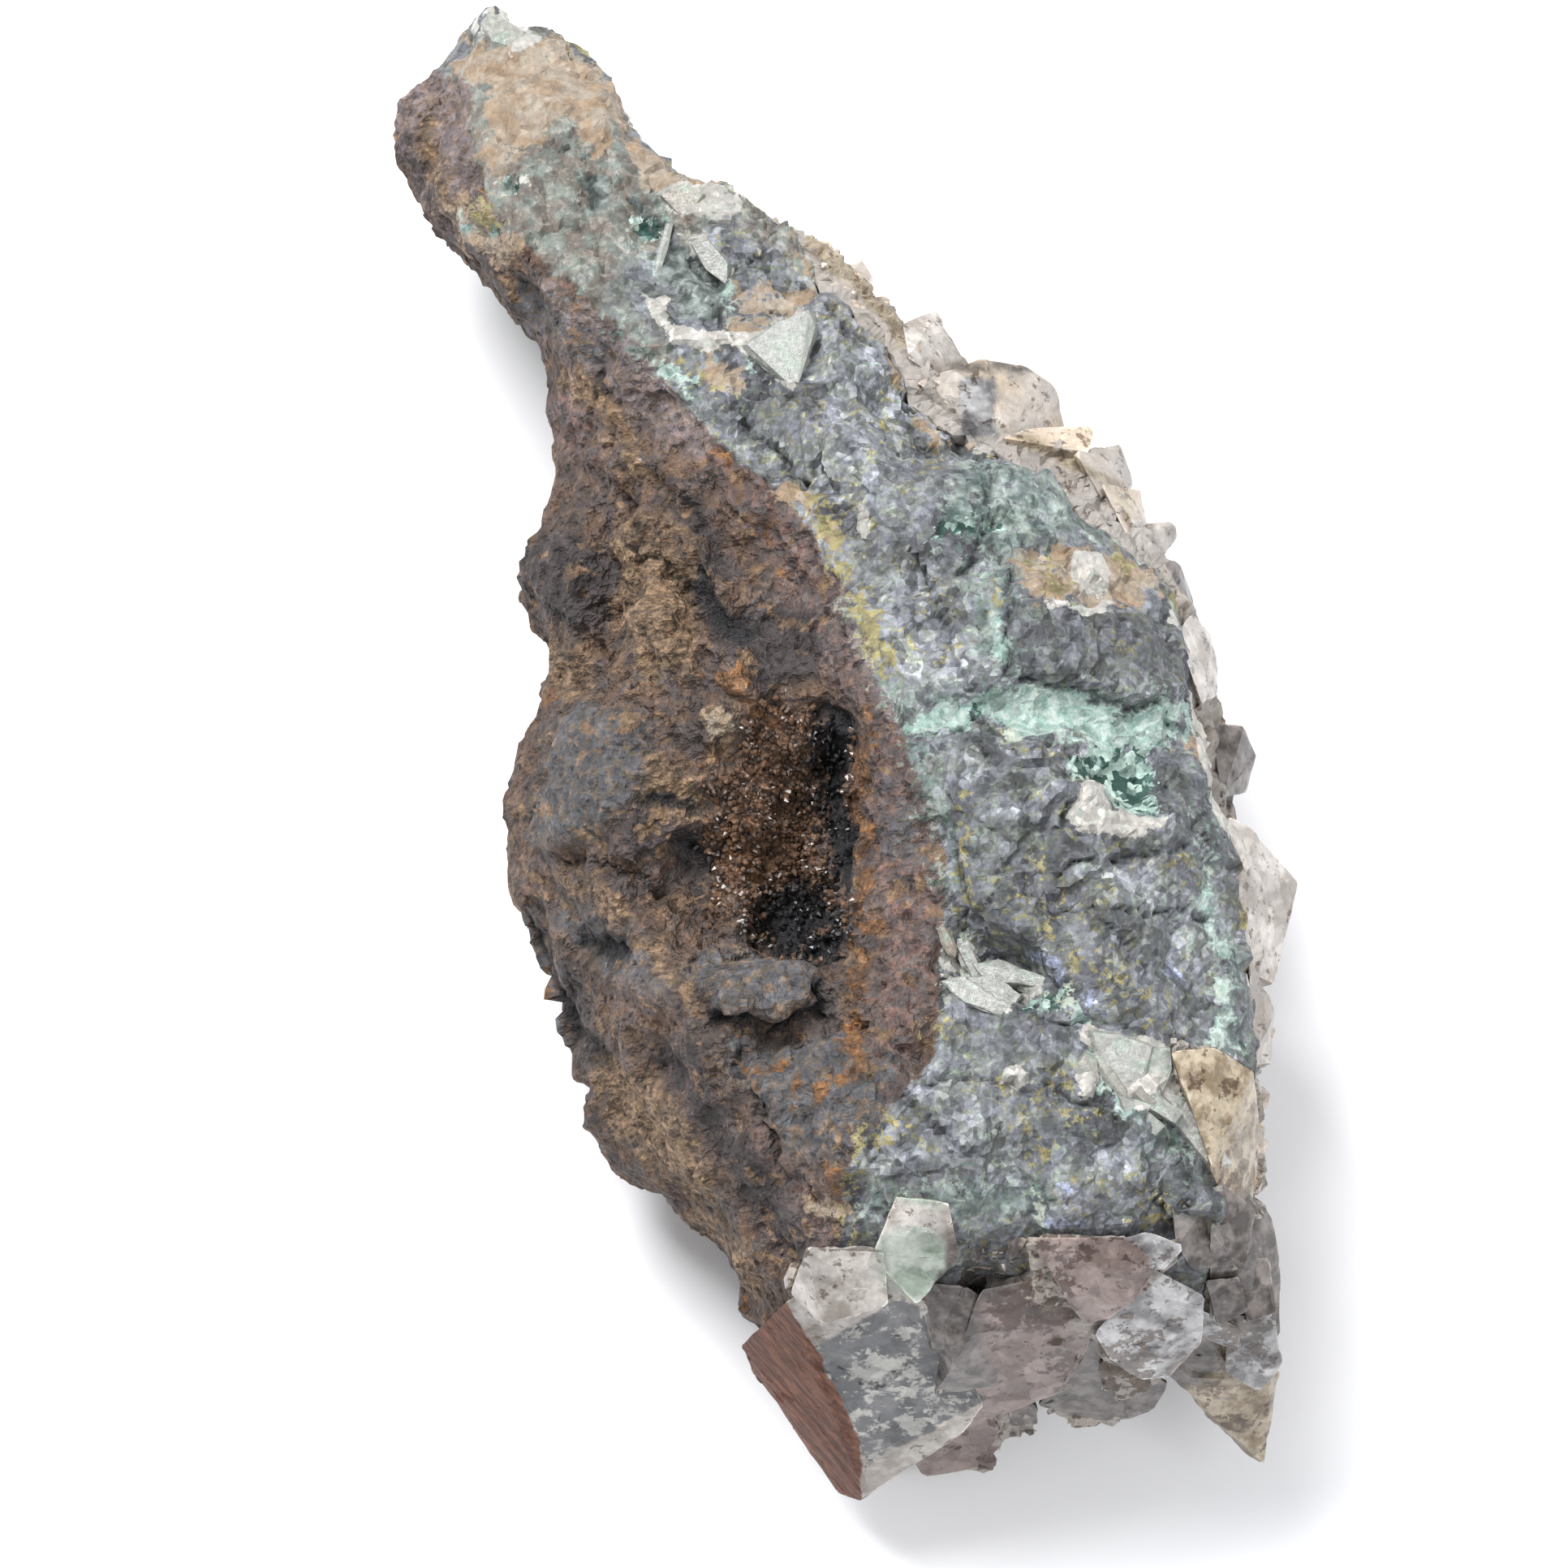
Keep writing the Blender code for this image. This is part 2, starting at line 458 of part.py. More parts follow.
def keep_largest(body):
    """Applies the modifiers, and keeps only the largest piece of what they leave."""
    graph = bpy.context.evaluated_depsgraph_get()
    mesh = bpy.data.meshes.new_from_object(body.evaluated_get(graph))
    body.modifiers.clear()
    form = bmesh.new()
    form.from_mesh(mesh)
    bmesh.ops.triangulate(form, faces=form.faces)
    islands, left = [], set(form.verts)
    while left:
        island, edge = set(), [left.pop()]
        while edge:
            vertex = edge.pop()
            island.add(vertex)
            for link in vertex.link_edges:
                other = link.other_vert(vertex)
                if other in left:
                    left.discard(other)
                    edge.append(other)
        islands.append(island)
    islands.sort(key=len)
    crumbs = [v for island in islands[:-1] for v in island]
    bmesh.ops.delete(form, geom=crumbs, context="VERTS")
    for vertex in form.verts:
        vertex.co.z = max(vertex.co.z, 0.0)
    form.to_mesh(mesh)
    form.free()
    body.data = mesh


def druse(surface):
    """The blank of the vug's crystal crust: a sheet of small points over the hollow's floor."""
    pick = random.Random(SEED + 1)
    angle = math.radians(DRUSE_TURN)
    form = bmesh.new()
    top, bottom = [], []
    rows, columns = DRUSE_GRID
    for i in range(rows + 1):
        top.append([])
        bottom.append([])
        for j in range(columns + 1):
            u, v = 2 * i / rows - 1, 2 * j / columns - 1
            lengthwise = u * DRUSE_HALF[0] * math.sqrt(1 - DRUSE_ROUND * v * v)
            sideways = v * DRUSE_HALF[1] * math.sqrt(1 - DRUSE_ROUND * u * u)
            x = DRUSE_CENTRE[0] + lengthwise * math.cos(angle) - sideways * math.sin(angle)
            y = DRUSE_CENTRE[1] + lengthwise * math.sin(angle) + sideways * math.cos(angle)
            hit = surface.ray_cast(Vector((x, y, ABOVE_ALL)) * MM, Vector((0, 0, -1)))[0]
            floor = hit.z / MM
            edge = i in (0, rows) or j in (0, columns)
            rise = DRUSE_BASE + (DRUSE_POINT * pick.random() if (i + j) % 2 and not edge else 0.0)
            top[-1].append(form.verts.new((x, y, floor + rise)))
            bottom[-1].append(form.verts.new((x, y, floor - DRUSE_DEPTH)))
    for i in range(rows):
        for j in range(columns):
            form.faces.new((top[i][j], top[i + 1][j], top[i + 1][j + 1], top[i][j + 1]))
            form.faces.new((bottom[i][j], bottom[i][j + 1], bottom[i + 1][j + 1], bottom[i + 1][j]))
    border = [(i, 0) for i in range(rows)] + [(rows, j) for j in range(columns)]
    border += [(i, columns) for i in range(rows, 0, -1)] + [(0, j) for j in range(columns, 0, -1)]
    for (i, j), (k, m) in zip(border, border[1:] + border[:1]):
        form.faces.new((top[i][j], bottom[i][j], bottom[k][m], top[k][m]))
    bmesh.ops.triangulate(form, faces=form.faces)
    bmesh.ops.recalc_face_normals(form, faces=form.faces)
    return mesh_from("vug_druse", form)


def centre(bodies):
    """Moves the bodies so that the middle of the whole footprint is at the origin."""
    corners = np.array([v.co for body in bodies for v in body.data.vertices])
    middle = (corners.min(axis=0) + corners.max(axis=0)) / 2
    for body in bodies:
        for vertex in body.data.vertices:
            vertex.co -= Vector((middle[0], middle[1], 0))


def build():
    clear_scene()
    rock_stone = stone("ore_rock", (0.2, 0.17, 0.14), 0.8)
    quartz_stone = stone("quartz", (0.64, 0.58, 0.5), 0.32)
    druse_stone = stone("druse", (0.1, 0.07, 0.05), 0.3)
    rock = ore_block()
    block = add_object("ore_block", rock, rock_stone)
    cutter = swollen(rock, GAP)
    surface = BVHTree.FromPolygons([v.co for v in rock.vertices], [p.vertices for p in rock.polygons])
    crystals = [hull(name, corners) for name, corners in {**EDGE_BLOCKS, **END_BLOCKS}.items()]
    crystals += [hull("end_base", END_BASE)] + wall_crystals()
    quartz = grown_together("quartz_crystals", crust_base(), crystals, quartz_stone)
    lining = add_object("vug_druse", druse(surface), druse_stone)
    for body in (quartz, lining):
        seat_on_rock(body, cutter)
    bpy.data.objects.remove(cutter)
    centre([block, quartz, lining])


build()
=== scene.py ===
"""The bournonite specimen in full detail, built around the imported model.

Lengths in this file are in millimetres, unless a line says otherwise. The row frame has its
origin under the middle of the specimen, +Y towards the thin end, +X towards the quartz and +Z up
from the floor. Places on the face are listed as "u,v u,v" on the camera's picture of 1932 by 1932
points, and project() takes a point of the row frame to that picture. Corners are listed as
"x,y,z x,y,z" from the landmarks' own origin.
"""

import math
import random

import bmesh
import bpy
import numpy as np
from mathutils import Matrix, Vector, noise
from mathutils.bvhtree import BVHTree


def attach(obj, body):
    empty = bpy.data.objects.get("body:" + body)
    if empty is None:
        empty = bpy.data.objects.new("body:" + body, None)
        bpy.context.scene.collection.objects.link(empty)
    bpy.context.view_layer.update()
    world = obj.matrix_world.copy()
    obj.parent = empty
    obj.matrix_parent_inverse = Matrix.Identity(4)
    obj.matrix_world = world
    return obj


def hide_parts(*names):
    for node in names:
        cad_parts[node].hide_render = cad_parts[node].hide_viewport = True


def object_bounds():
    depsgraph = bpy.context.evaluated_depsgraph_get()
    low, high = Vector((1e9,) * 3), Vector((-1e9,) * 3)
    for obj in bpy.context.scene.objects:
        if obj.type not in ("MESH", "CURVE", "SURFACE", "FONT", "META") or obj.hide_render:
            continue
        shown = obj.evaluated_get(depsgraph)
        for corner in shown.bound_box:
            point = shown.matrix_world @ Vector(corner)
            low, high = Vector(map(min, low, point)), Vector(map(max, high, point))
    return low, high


MM = 0.001
noise.seed_set(4)         # unset, the vector noise would take its offsets from the clock
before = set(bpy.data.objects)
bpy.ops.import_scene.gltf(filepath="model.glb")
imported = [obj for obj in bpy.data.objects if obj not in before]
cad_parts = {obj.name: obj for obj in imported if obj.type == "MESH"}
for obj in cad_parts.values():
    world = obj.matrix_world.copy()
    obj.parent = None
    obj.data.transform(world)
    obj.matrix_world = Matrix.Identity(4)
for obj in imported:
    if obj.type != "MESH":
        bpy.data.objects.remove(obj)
cad_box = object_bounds()

# ---------------------------------------------------------------- the view
ORIGIN = np.array((4.14, 7.44, 0.0))     # the footprint's middle, as the landmarks count
PICTURE = 1932
PICTURE_WIDTH = 128.8                    # at the target
ELEVATION = math.radians(72)
DISTANCE = 600.0
TARGET_HEIGHT = 25.0
TARGET = np.array((0.0, 0.0, TARGET_HEIGHT)) - ORIGIN
SIGHT = np.array((0.0, -math.cos(ELEVATION), math.sin(ELEVATION)))


def project(points):
    """(u, v) on the picture for points of the row frame."""
    x, y, z = (np.asarray(points) + ORIGIN).T
    up = y * math.sin(ELEVATION) + (z - TARGET_HEIGHT) * math.cos(ELEVATION)
    near = -y * math.cos(ELEVATION) + (z - TARGET_HEIGHT) * math.sin(ELEVATION)
    scale = PICTURE / PICTURE_WIDTH * DISTANCE / (DISTANCE - near)
    return np.stack((PICTURE / 2 + x * scale, PICTURE / 2 - up * scale), axis=1)


def sight_ray(u, v):
    """Where the camera's ray through a place of the picture starts, and its direction."""
    across = (u - PICTURE / 2) * PICTURE_WIDTH / PICTURE
    up = (PICTURE / 2 - v) * PICTURE_WIDTH / PICTURE
    eye = Vector(TARGET) + Vector(SIGHT) * DISTANCE
    passed = Vector(TARGET) + Vector((across, up * math.sin(ELEVATION), up * math.cos(ELEVATION)))
    return eye, (passed - eye).normalized()


# ---------------------------------------------------------------- lists of places and corners
def listed(text):
    """The places or corners of a list such as "u,v u,v"."""
    return [tuple(float(number) for number in place.split(",")) for place in text.split()]


def entries(text):
    """The label and the list of each entry of a text such as "label: list / label: list"."""
    pairs = [entry.split(":") for entry in text.split("/") if entry.strip()]
    return [(label.strip(), listed(places)) for label, places in pairs]


def zone(edge, outlines="", strokes=""):
    """A zone of the picture: closed outlines set apart by slashes, and strokes as "width: list".

    Its mask passes from 0 to 1 over edge points of the picture.
    """
    closed = [listed(outline) for outline in outlines.split("/") if outline.strip()]
    return edge, closed, [(float(width), places) for width, places in entries(strokes)]


# ---------------------------------------------------------------- shader nodes
PER_PACK = 3              # so many masks share one vector attribute


class Shader:
    """A material's nodes, with the positions of the object in millimetres."""

    def __init__(self, name, masks=("tone",)):
        self.masks = sorted(masks)
        self.packs = {}
        self.material = bpy.data.materials.new(name)
        self.material.use_nodes = True
        self.tree = self.material.node_tree
        self.surface = self.tree.nodes["Principled BSDF"]
        coordinates = self.add("ShaderNodeTexCoord").outputs["Object"]
        self.place = self.vector("SCALE", coordinates, scale=1 / MM)

    def add(self, kind, *values, **settings):
        """A new node, fed with the values in the order of its sockets; None is left out."""
        node = self.tree.nodes.new(kind)
        for key, value in settings.items():
            setattr(node, key, value)
        for socket, value in zip(node.inputs, values):
            if value is not None:
                self.feed(socket, value)
        return node

    def feed(self, socket, value):
        if isinstance(value, bpy.types.NodeSocket):
            self.tree.links.new(value, socket)
        elif isinstance(value, tuple) and socket.type == "RGBA":
            socket.default_value = (*value, 1.0)
        else:
            socket.default_value = value

    def vector(self, operation, a, b=None, c=None, scale=None):
        node = self.add("ShaderNodeVectorMath", a, b, c, scale, operation=operation)
        return node.outputs["Value" if operation == "DOT_PRODUCT" else "Vector"]

    def math(self, operation, a, b=0.0, c=None):
        return self.add("ShaderNodeMath", a, b, c, operation=operation).outputs[0]

    def rest(self, share):
        return self.math("SUBTRACT", 1.0, share)

    def two_to(self, value):
        return self.math("POWER", 2.0, value)

    def spread(self, value, low, high, to_low=0.0, to_high=1.0):
        """value taken from low..high to to_low..to_high, with soft ends."""
        return self.add("ShaderNodeMapRange", value, low, high, to_low, to_high,
                        interpolation_type="SMOOTHSTEP").outputs[0]

    def noise(self, size, detail, roughness=0.6, place=None, offset=(0.0, 0.0, 0.0)):
        """Fractal noise from 0 to 1, its largest lumps about size across."""
        moved = self.vector("ADD", place or self.place, offset)
        return self.add("ShaderNodeTexNoise", moved, None, 1.0 / size, detail, roughness).outputs["Fac"]

    def stirred(self, size, reach):
        """The positions, moved about by noise up to half of reach."""
        drift = self.add("ShaderNodeTexNoise", self.place, None, 1.0 / size, 1.0).outputs["Color"]
        drift = self.vector("SUBTRACT", drift, (0.5, 0.5, 0.5))
        return self.vector("MULTIPLY_ADD", drift, (reach, reach, reach), self.place)

    def cells(self, size, place):
        """Cells about size across, with a centre and three chance numbers each."""
        return self.add("ShaderNodeTexVoronoi", place, None, 1.0 / size)

    def attribute(self, name):
        """A mask, out of the vector attribute that it shares with others."""
        pack, part = divmod(self.masks.index(name), PER_PACK)
        if pack not in self.packs:
            whole = self.add("ShaderNodeAttribute", attribute_name=f"masks_{pack}")
            self.packs[pack] = self.add("ShaderNodeSeparateXYZ", whole.outputs["Vector"])
        return self.packs[pack].outputs[part]

    def mix(self, share, a, b):
        """The colour a, with a share of b."""
        return self.add("ShaderNodeMix", share, *[None] * 5, a, b, data_type="RGBA").outputs[2]

    def blend(self, value, low, high, a, b):
        """The colour a where value is low, and b where it is high."""
        return self.mix(self.spread(value, low, high), a, b)

    def shade(self, colour, factor):
        return self.vector("SCALE", colour, scale=factor)

    def lerp(self, share, a, b):
        return self.add("ShaderNodeMix", share, None, a, b, data_type="FLOAT").outputs[0]

    def ramp(self, value, stops):
        node = self.add("ShaderNodeValToRGB", value)
        points = node.color_ramp.elements
        while len(points) < len(stops):
            points.new(0.5)
        for point, (position, colour) in zip(points, stops):
            point.position = position
            point.color = (*colour, 1.0)
        return node.outputs[0]

    def edged(self, name, breakup, amount, width=0.2):
        """A zone's mask with its edge broken up by noise: 0 outside, 1 inside."""
        value = self.math("MULTIPLY_ADD", breakup, amount, self.attribute(name))
        middle = 0.5 + amount / 2
        return self.spread(value, middle - width, middle + width)

    def specks(self, name, breakup, fullness):
        """A zone's mask broken into specks: fullness 0.3 covers half of it, 0.45 nearly all."""
        value = self.math("MULTIPLY_ADD", self.attribute(name), fullness, breakup)
        return self.spread(value, 0.71, 0.77)

    def facets(self, cell, place):
        """Height, in mm, of a surface of flat tilted facets, one to each cell."""
        inside = self.vector("SUBTRACT", place, cell.outputs["Position"])
        tilt = self.vector("SUBTRACT", cell.outputs["Color"], (0.5, 0.5, 0.5))
        return self.vector("DOT_PRODUCT", inside, tilt)

    def chance(self, cell, axis=(1, 0, 0)):
        """A number from 0 to 1 for each cell, another one for each axis."""
        return self.vector("DOT_PRODUCT", cell.outputs["Color"], axis)

    def total(self, offset, *terms):
        """The sum of value times factor over the terms, and the offset."""
        for value, factor in terms:
            offset = self.math("MULTIPLY_ADD", value, factor, offset)
        return offset

    def bump(self, height, strength):
        """A bump from a height in mm."""
        node = self.add("ShaderNodeBump", strength, MM)
        self.feed(node.inputs["Height"], height)
        return node.outputs[0]

    def paint(self, **inputs):
        """Feeds the Principled shader: names have _ for the spaces."""
        for name, value in inputs.items():
            self.feed(self.surface.inputs[name.replace("_", " ")], value)
        return self.material


# ---------------------------------------------------------------- zones of the face
# Each zone is drawn on the picture. Noise wanders over its edges and breaks them up.
ZONES = {
    "quartz": zone(12, """
    591,12 640,16 668,50 650,66 614,52 589,46 /
    808,240 844,222 890,230 912,256 900,277 834,265 818,258 /
    847,300 874,294 902,327 895,347 880,342 857,320 /
    783,371 808,366 825,392 850,403 892,408 936,402 982,393 1003,383 1012,403 997,439 982,487 956,474
    941,446 910,424 880,434 844,434 818,410 /
    1328,966 1357,969 1388,1002 1429,1009 1426,1030 1371,1037 1320,1018 /
    1183,1163 1197,1166 1206,1196 1268,1205 1286,1211 1250,1229 1212,1222 1192,1201 /
    1335,1266 1379,1273 1429,1281 1446,1317 1473,1366 1500,1400 1531,1446 1504,1440 1473,1402 1437,1375
    1402,1370 1379,1344 1357,1312 1330,1288 /
    1321,1317 1348,1303 1354,1342 1330,1354 /
    1464,760 1500,766 1522,850 1530,960 1528,1030 1500,1010 1482,930 1478,850 /
    1318,690 1346,680 1366,704 1362,736 1330,730 /
    1446,1312 1491,1330 1538,1348 1531,1420 1500,1396 1473,1366 /
    1228,1318 1246,1310 1262,1322 1250,1340 1232,1336
    """, """
    44: 1462,768 1484,790 1494,842 1492,898 1500,964 1508,1010 / 12: 1156,1143 1166,1166 1174,1188 /
    14: 1161,1210 1180,1212 1214,1232 1250,1246 / 10: 1058,622 1068,652 / 6: 609,219 655,226 / 12: 1286,738
    1330,752 1366,744"""),
    "mint": zone(34, """
    1187,857 1250,849 1312,854 1357,867 1442,871 1466,868 1468,906 1428,926 1402,929 1353,925 1330,907
    1295,896 1259,907 1232,898 1210,880 1178,898 1147,908 1116,893 1147,878 /
    1312,929 1348,922 1415,930 1424,964 1417,1012 1390,1004 1357,969 1321,964 /
    1338,1276 1352,1290 1340,1322 1326,1330 1332,1300 /
    1346,1310 1368,1330 1400,1364 1388,1376 1356,1346
    """, """
    12: 1226,766 1238,816 / 16: 1500,1260 1492,1290 / 10: 1186,1165 1196,1205 1240,1225 1300,1232
    1322,1246 / 16: 1312,1223 1332,1256 / 16: 560,268 610,290 / 9: 812,262 826,300 812,330 / 12: 884,352
    906,382 / 20: 820,452 850,474 / 12: 1270,1474 1280,1500 / 8: 926,440 950,470 / 8: 1488,1044 1494,1110
    1512,1180 / 8: 1510,1200 1522,1290"""),
    "teal": zone(22, """
    1330,922 1353,922 1352,946 1334,948 /
    1316,920 1400,928 1424,958 1420,1006 1392,996 1362,964 1324,956 /
    1250,1228 1286,1216 1318,1213 1308,1238 1268,1251 /
    775,266 806,262 822,286 812,300 780,288
    """, """
    10: 620,222 636,238 / 14: 1196,882 1216,876 / 12: 1398,1350 1440,1376 / 9: 1442,890 1450,900 /
    14: 1150,660 1240,640"""),
    "ochre": zone(44, """
    1352,1196 1374,1196 1380,1214 1360,1218 /
    1299,1366 1357,1368 1357,1380 1299,1382 /
    582,246 616,246 620,286 590,290 /
    1266,690 1300,688 1334,726 1330,738 1290,730 /
    1370,678 1398,680 1404,706 1376,712
    """, """
    34: 1004,612 1030,680 1062,740 1090,820 / 8: 1114,607 1165,566 / 22: 1186,990 1184,1030 1180,1062
    1190,1118 / 14: 1010,640 1050,690 1080,760 1110,820 / 8: 1290,1150 1330,1180 1380,1230 / 9: 1286,1054
    1277,1098 1237,1107 / 8: 1272,1103 1312,1161 1321,1214 / 9: 1312,1107 1330,1152 1366,1183 1402,1223
    1420,1263 / 24: 1060,1420 1076,1400 1100,1384 / 20: 1048,1470 1056,1440 / 18: 1262,1400 1282,1410
    1272,1430 / 8: 1190,1340 1240,1344 1310,1336 / 20: 1400,1460 1440,1490 1410,1510 / 14: 1150,1270
    1180,1256 / 8: 1230,720 1232,760 / 9: 1336,906 1356,922 / 16: 1040,330 1104,400 1150,470 / 14: 1099,470
    1099,492 / 14: 836,440 900,500 / 20: 1460,1300 1484,1316 / 8: 1440,1050 1478,1090 / 14: 1250,1540
    1300,1560 / 16: 1036,1490 1050,1520"""),
    "tan": zone(44, """
    546,90 570,56 640,46 706,56 757,108 776,160 740,190 700,150 650,170 616,230 596,190 600,110 560,90 /
    890,357 951,351 992,361 988,388 951,399 903,400 /
    872,446 910,440 930,470 906,488 876,480 /
    866,880 900,870 914,890 900,916 868,912 /
    772,168 830,190 892,224 912,240 840,226 806,250 776,206 /
    560,300 540,260 570,240 600,250 640,300 620,330 /
    1236,684 1262,674 1340,684 1425,690 1440,742 1390,748 1320,742 1262,735
    """, """
    22: 706,60 760,112 790,158 840,200 892,224 / 38: 992,296 1038,327 1063,352 1104,393 1118,449 1142,490
    1170,520 / 18: 964,600 1000,626 1032,664 / 18: 1446,880 1470,930 / 26: 1446,1312 1500,1360 1530,1420 /
    22: 1000,1484 1040,1500"""),
    "light": zone(46, """
    987,420 1010,404 1090,440 1140,520 1150,600 1060,640 980,590 960,500 /
    1170,915 1232,911 1268,902 1312,906 1335,924 1312,940 1312,964 1330,973 1300,1018 1260,1000 1214,1000
    1160,980 /
    747,291 790,290 818,310 812,350 770,357 740,330 /
    915,262 960,276 1004,320 1010,347 950,350 915,327 905,290 /
    1304,1090 1330,1060 1400,1062 1460,1085 1458,1120 1400,1122 /
    1402,1150 1440,1130 1490,1140 1500,1230 1440,1262 1400,1210 /
    1090,780 1150,770 1230,830 1210,860 1120,850 /
    1268,1150 1310,1160 1330,1210 1280,1212
    """, """
    26: 1250,810 1330,800 1400,850"""),
    "dark": zone(26, """
    1243,735 1290,745 1330,757 1380,747 1412,760 1450,800 1470,846 1442,868 1388,866 1339,855 1286,842
    1246,832 1246,780 /
    1429,933 1455,929 1475,938 1487,964 1496,1000 1500,1036 1473,1036 1442,1013 1417,991 1417,955 /
    1330,1125 1384,1123 1402,1138 1436,1150 1410,1196 1390,1196 1348,1161 /
    910,236 956,265 992,300 960,290 920,262 /
    1170,915 1200,884 1232,911 1190,940 /
    1120,1430 1166,1420 1160,1470 1128,1464 /
    1152,1262 1250,1250 1330,1262 1320,1300 1240,1310 1160,1300 /
    1280,1380 1400,1372 1480,1440 1530,1480 1500,1500 1420,1400 /
    1160,1520 1230,1526 1290,1530 1250,1560 1190,1550 /
    1290,1036 1340,1032 1330,1062 1290,1066 /
    996,590 1060,640 1130,660 1160,600 1210,640 1140,700 1060,700 /
    1182,1040 1214,1040 1250,1058 1240,1130 1196,1130
    """, """
    16: 1300,1530 1240,1524 1166,1518 / 26: 1510,1180 1540,1300 1535,1340 / 14: 1250,1140 1280,1170
    1330,1240 1400,1262 / 12: 1484,1000 1476,1040"""),
    "bluegrey": zone(70, """
    662,1010 690,900 740,870 800,880 812,940 770,1000 720,1030 670,1040 /
    880,1282 960,1290 1010,1280 1040,1210 1060,1160 1060,1060 1030,1100 1050,1180 1010,1250 1100,1320
    1090,1380 1050,1420 1010,1440 950,1380 900,1320 /
    860,1180 900,1160 940,1190 990,1180 1010,1220 960,1250 890,1240 850,1210 /
    940,740 990,760 1010,800 960,830 920,790 /
    1100,960 1130,1000 1140,1060 1090,1040 /
    600,340 660,345 760,440 720,450 640,390
    """, """
    40: 700,1120 760,1180 830,1220"""),
    "rust": zone(54, """
    900,980 960,970 990,1010 975,1080 930,1110 890,1090 880,1030 /
    660,860 700,850 690,890 650,900 /
    930,1320 970,1310 960,1336 930,1340 /
    860,830 920,820 930,850 890,860
    """, """
    22: 936,870 952,910 950,960 / 22: 1056,900 1062,980 1060,1030 / 26: 1062,880 1056,960 1076,1070
    1060,1150 1062,1240 1050,1310 1000,1350 / 14: 1000,1420 1040,1460 / 16: 890,560 930,640 960,700 /
    30: 860,1560 900,1620"""),
    "gold": zone(60, """
    758,640 800,650 850,700 868,760 850,830 800,840 770,790 752,710 /
    866,880 900,870 914,890 900,916 868,912 /
    800,930 850,950 880,1010 840,1030 790,1010 /
    735,1290 800,1320 860,1400 880,1480 800,1440 740,1370
    """, """
    26: 700,470 760,520 790,580 / 22: 520,150 540,230 560,280 / 34: 680,800 720,850 / 20: 830,640 880,730
    930,800 / 30: 870,1500 930,1580 / 22: 700,1080 760,1130 / 18: 800,1160 850,1240"""),
    "red": zone(60, """
    869,531 940,560 1000,660 1040,760 1090,880 1130,960 1165,1060 1160,1160 1150,1240 1120,1330 1080,1400
    1060,1300 1090,1150 1070,1000 1050,880 1000,780 950,700 880,600 /
    640,480 700,470 760,530 740,590 670,560
    """, """
    40: 940,1400 1000,1500 1010,1550"""),
    # Near-black: black minerals in the vug, and painted shadow in hollows, in cracks and under the lump below
    # the vug.
    "black": zone(34, """
    1006,874 1040,880 1050,920 1034,960 1046,1020 1040,1090 1024,1100 1010,1040 1004,960 /
    940,1110 990,1090 1040,1120 1046,1160 1000,1186 960,1180 /
    838,1040 880,1040 880,1066 850,1070 /
    860,760 930,740 940,770 900,800
    """, """
    22: 872,1246 920,1268 980,1262 1004,1250 1010,1216 / 16: 640,1140 660,1190 700,1280 / 20: 716,1160
    760,1180 / 14: 800,980 860,990 / 16: 850,700 890,760"""),
    # Cracks, sunk into the face; the shader also draws them darker, as painted shade.
    "crack": zone(8, strokes="""
    7: 1240,690 1244,740 1240,790 1248,836 / 5: 1470,850 1442,871 1388,870 1339,860 1286,846 1246,836 /
    5: 1178,898 1200,884 1232,909 1262,906 1312,908 1332,924 / 6: 1300,1022 1318,1000 1330,973 1316,940 /
    6: 1165,1054 1180,1100 1186,1160 / 5: 1304,1086 1330,1060 1400,1058 1470,1040 / 5: 1308,1124 1400,1124
    1462,1120 1500,1134 / 6: 1250,1230 1310,1262 1336,1262 / 5: 1120,1336 1200,1328 1300,1344 1380,1376 /
    5: 1150,540 1210,560 1230,640 1180,700 / 4: 1010,350 1040,400 1110,470 1150,560 / 5: 900,500 960,560
    1000,600 / 5: 905,1290 950,1400 1000,1480 / 9: 880,1254 920,1270 980,1264 1006,1250 1012,1214 /
    6: 770,610 800,680 860,740 / 8: 640,1150 670,1210 720,1290 / 6: 700,1060 790,1080 840,1130"""),
    # Thin green film over the grains.
    "dusting": zone(60, """
    1190,540 1260,550 1330,590 1420,620 1440,660 1380,680 1300,660 1262,700 1250,820 1200,830 1180,760
    1210,680 1150,680 1140,640 /
    700,340 800,420 880,480 860,500 760,430 /
    1470,960 1500,1000 1506,1120 1540,1200 1540,1320 1500,1300 1486,1140 1470,1060 /
    1400,1340 1480,1400 1500,1450 1440,1440 1390,1380 /
    1050,1480 1180,1440 1300,1460 1290,1520 1160,1510 1060,1510
    """, """
    44: 1050,740 1090,830 1130,900 1150,1000 1180,1090 / 50: 1200,716 1222,760 1238,816 / 26: 1098,848
    1116,893 1134,929 1143,982 1154,1027 1165,1054 / 60: 1140,880 1250,870 1440,880 / 44: 1484,1040
    1492,1110 1508,1180 1520,1290"""),
    "mauve": zone(60, """
    480,130 520,80 580,60 606,110 600,190 580,260 600,330 560,320 500,260 /
    640,330 760,400 860,500 900,560 840,560 740,470 650,400
    """, """
    60: 1000,700 1070,860 1130,1020 1140,1150"""),
    # Painted glare at the narrow end: a paler, flatter grey-green colour over the ore there.
    "haze": zone(60, """
    530,150 556,84 590,40 640,30 706,50 776,140 890,214 900,280 820,300 770,330 740,360 650,330 570,280
    560,200
    """, """
    60: 600,300 700,370 800,450 / 40: 930,270 1000,320 1060,380"""),
    # Dark grey-green crystals.
    "sage": zone(16, """
    818,316 834,298 859,316 890,357 900,383 869,398 834,383 816,347 /
    716,214 748,214 746,256 722,262
    """, """
    18: 775,240 800,262 822,290"""),
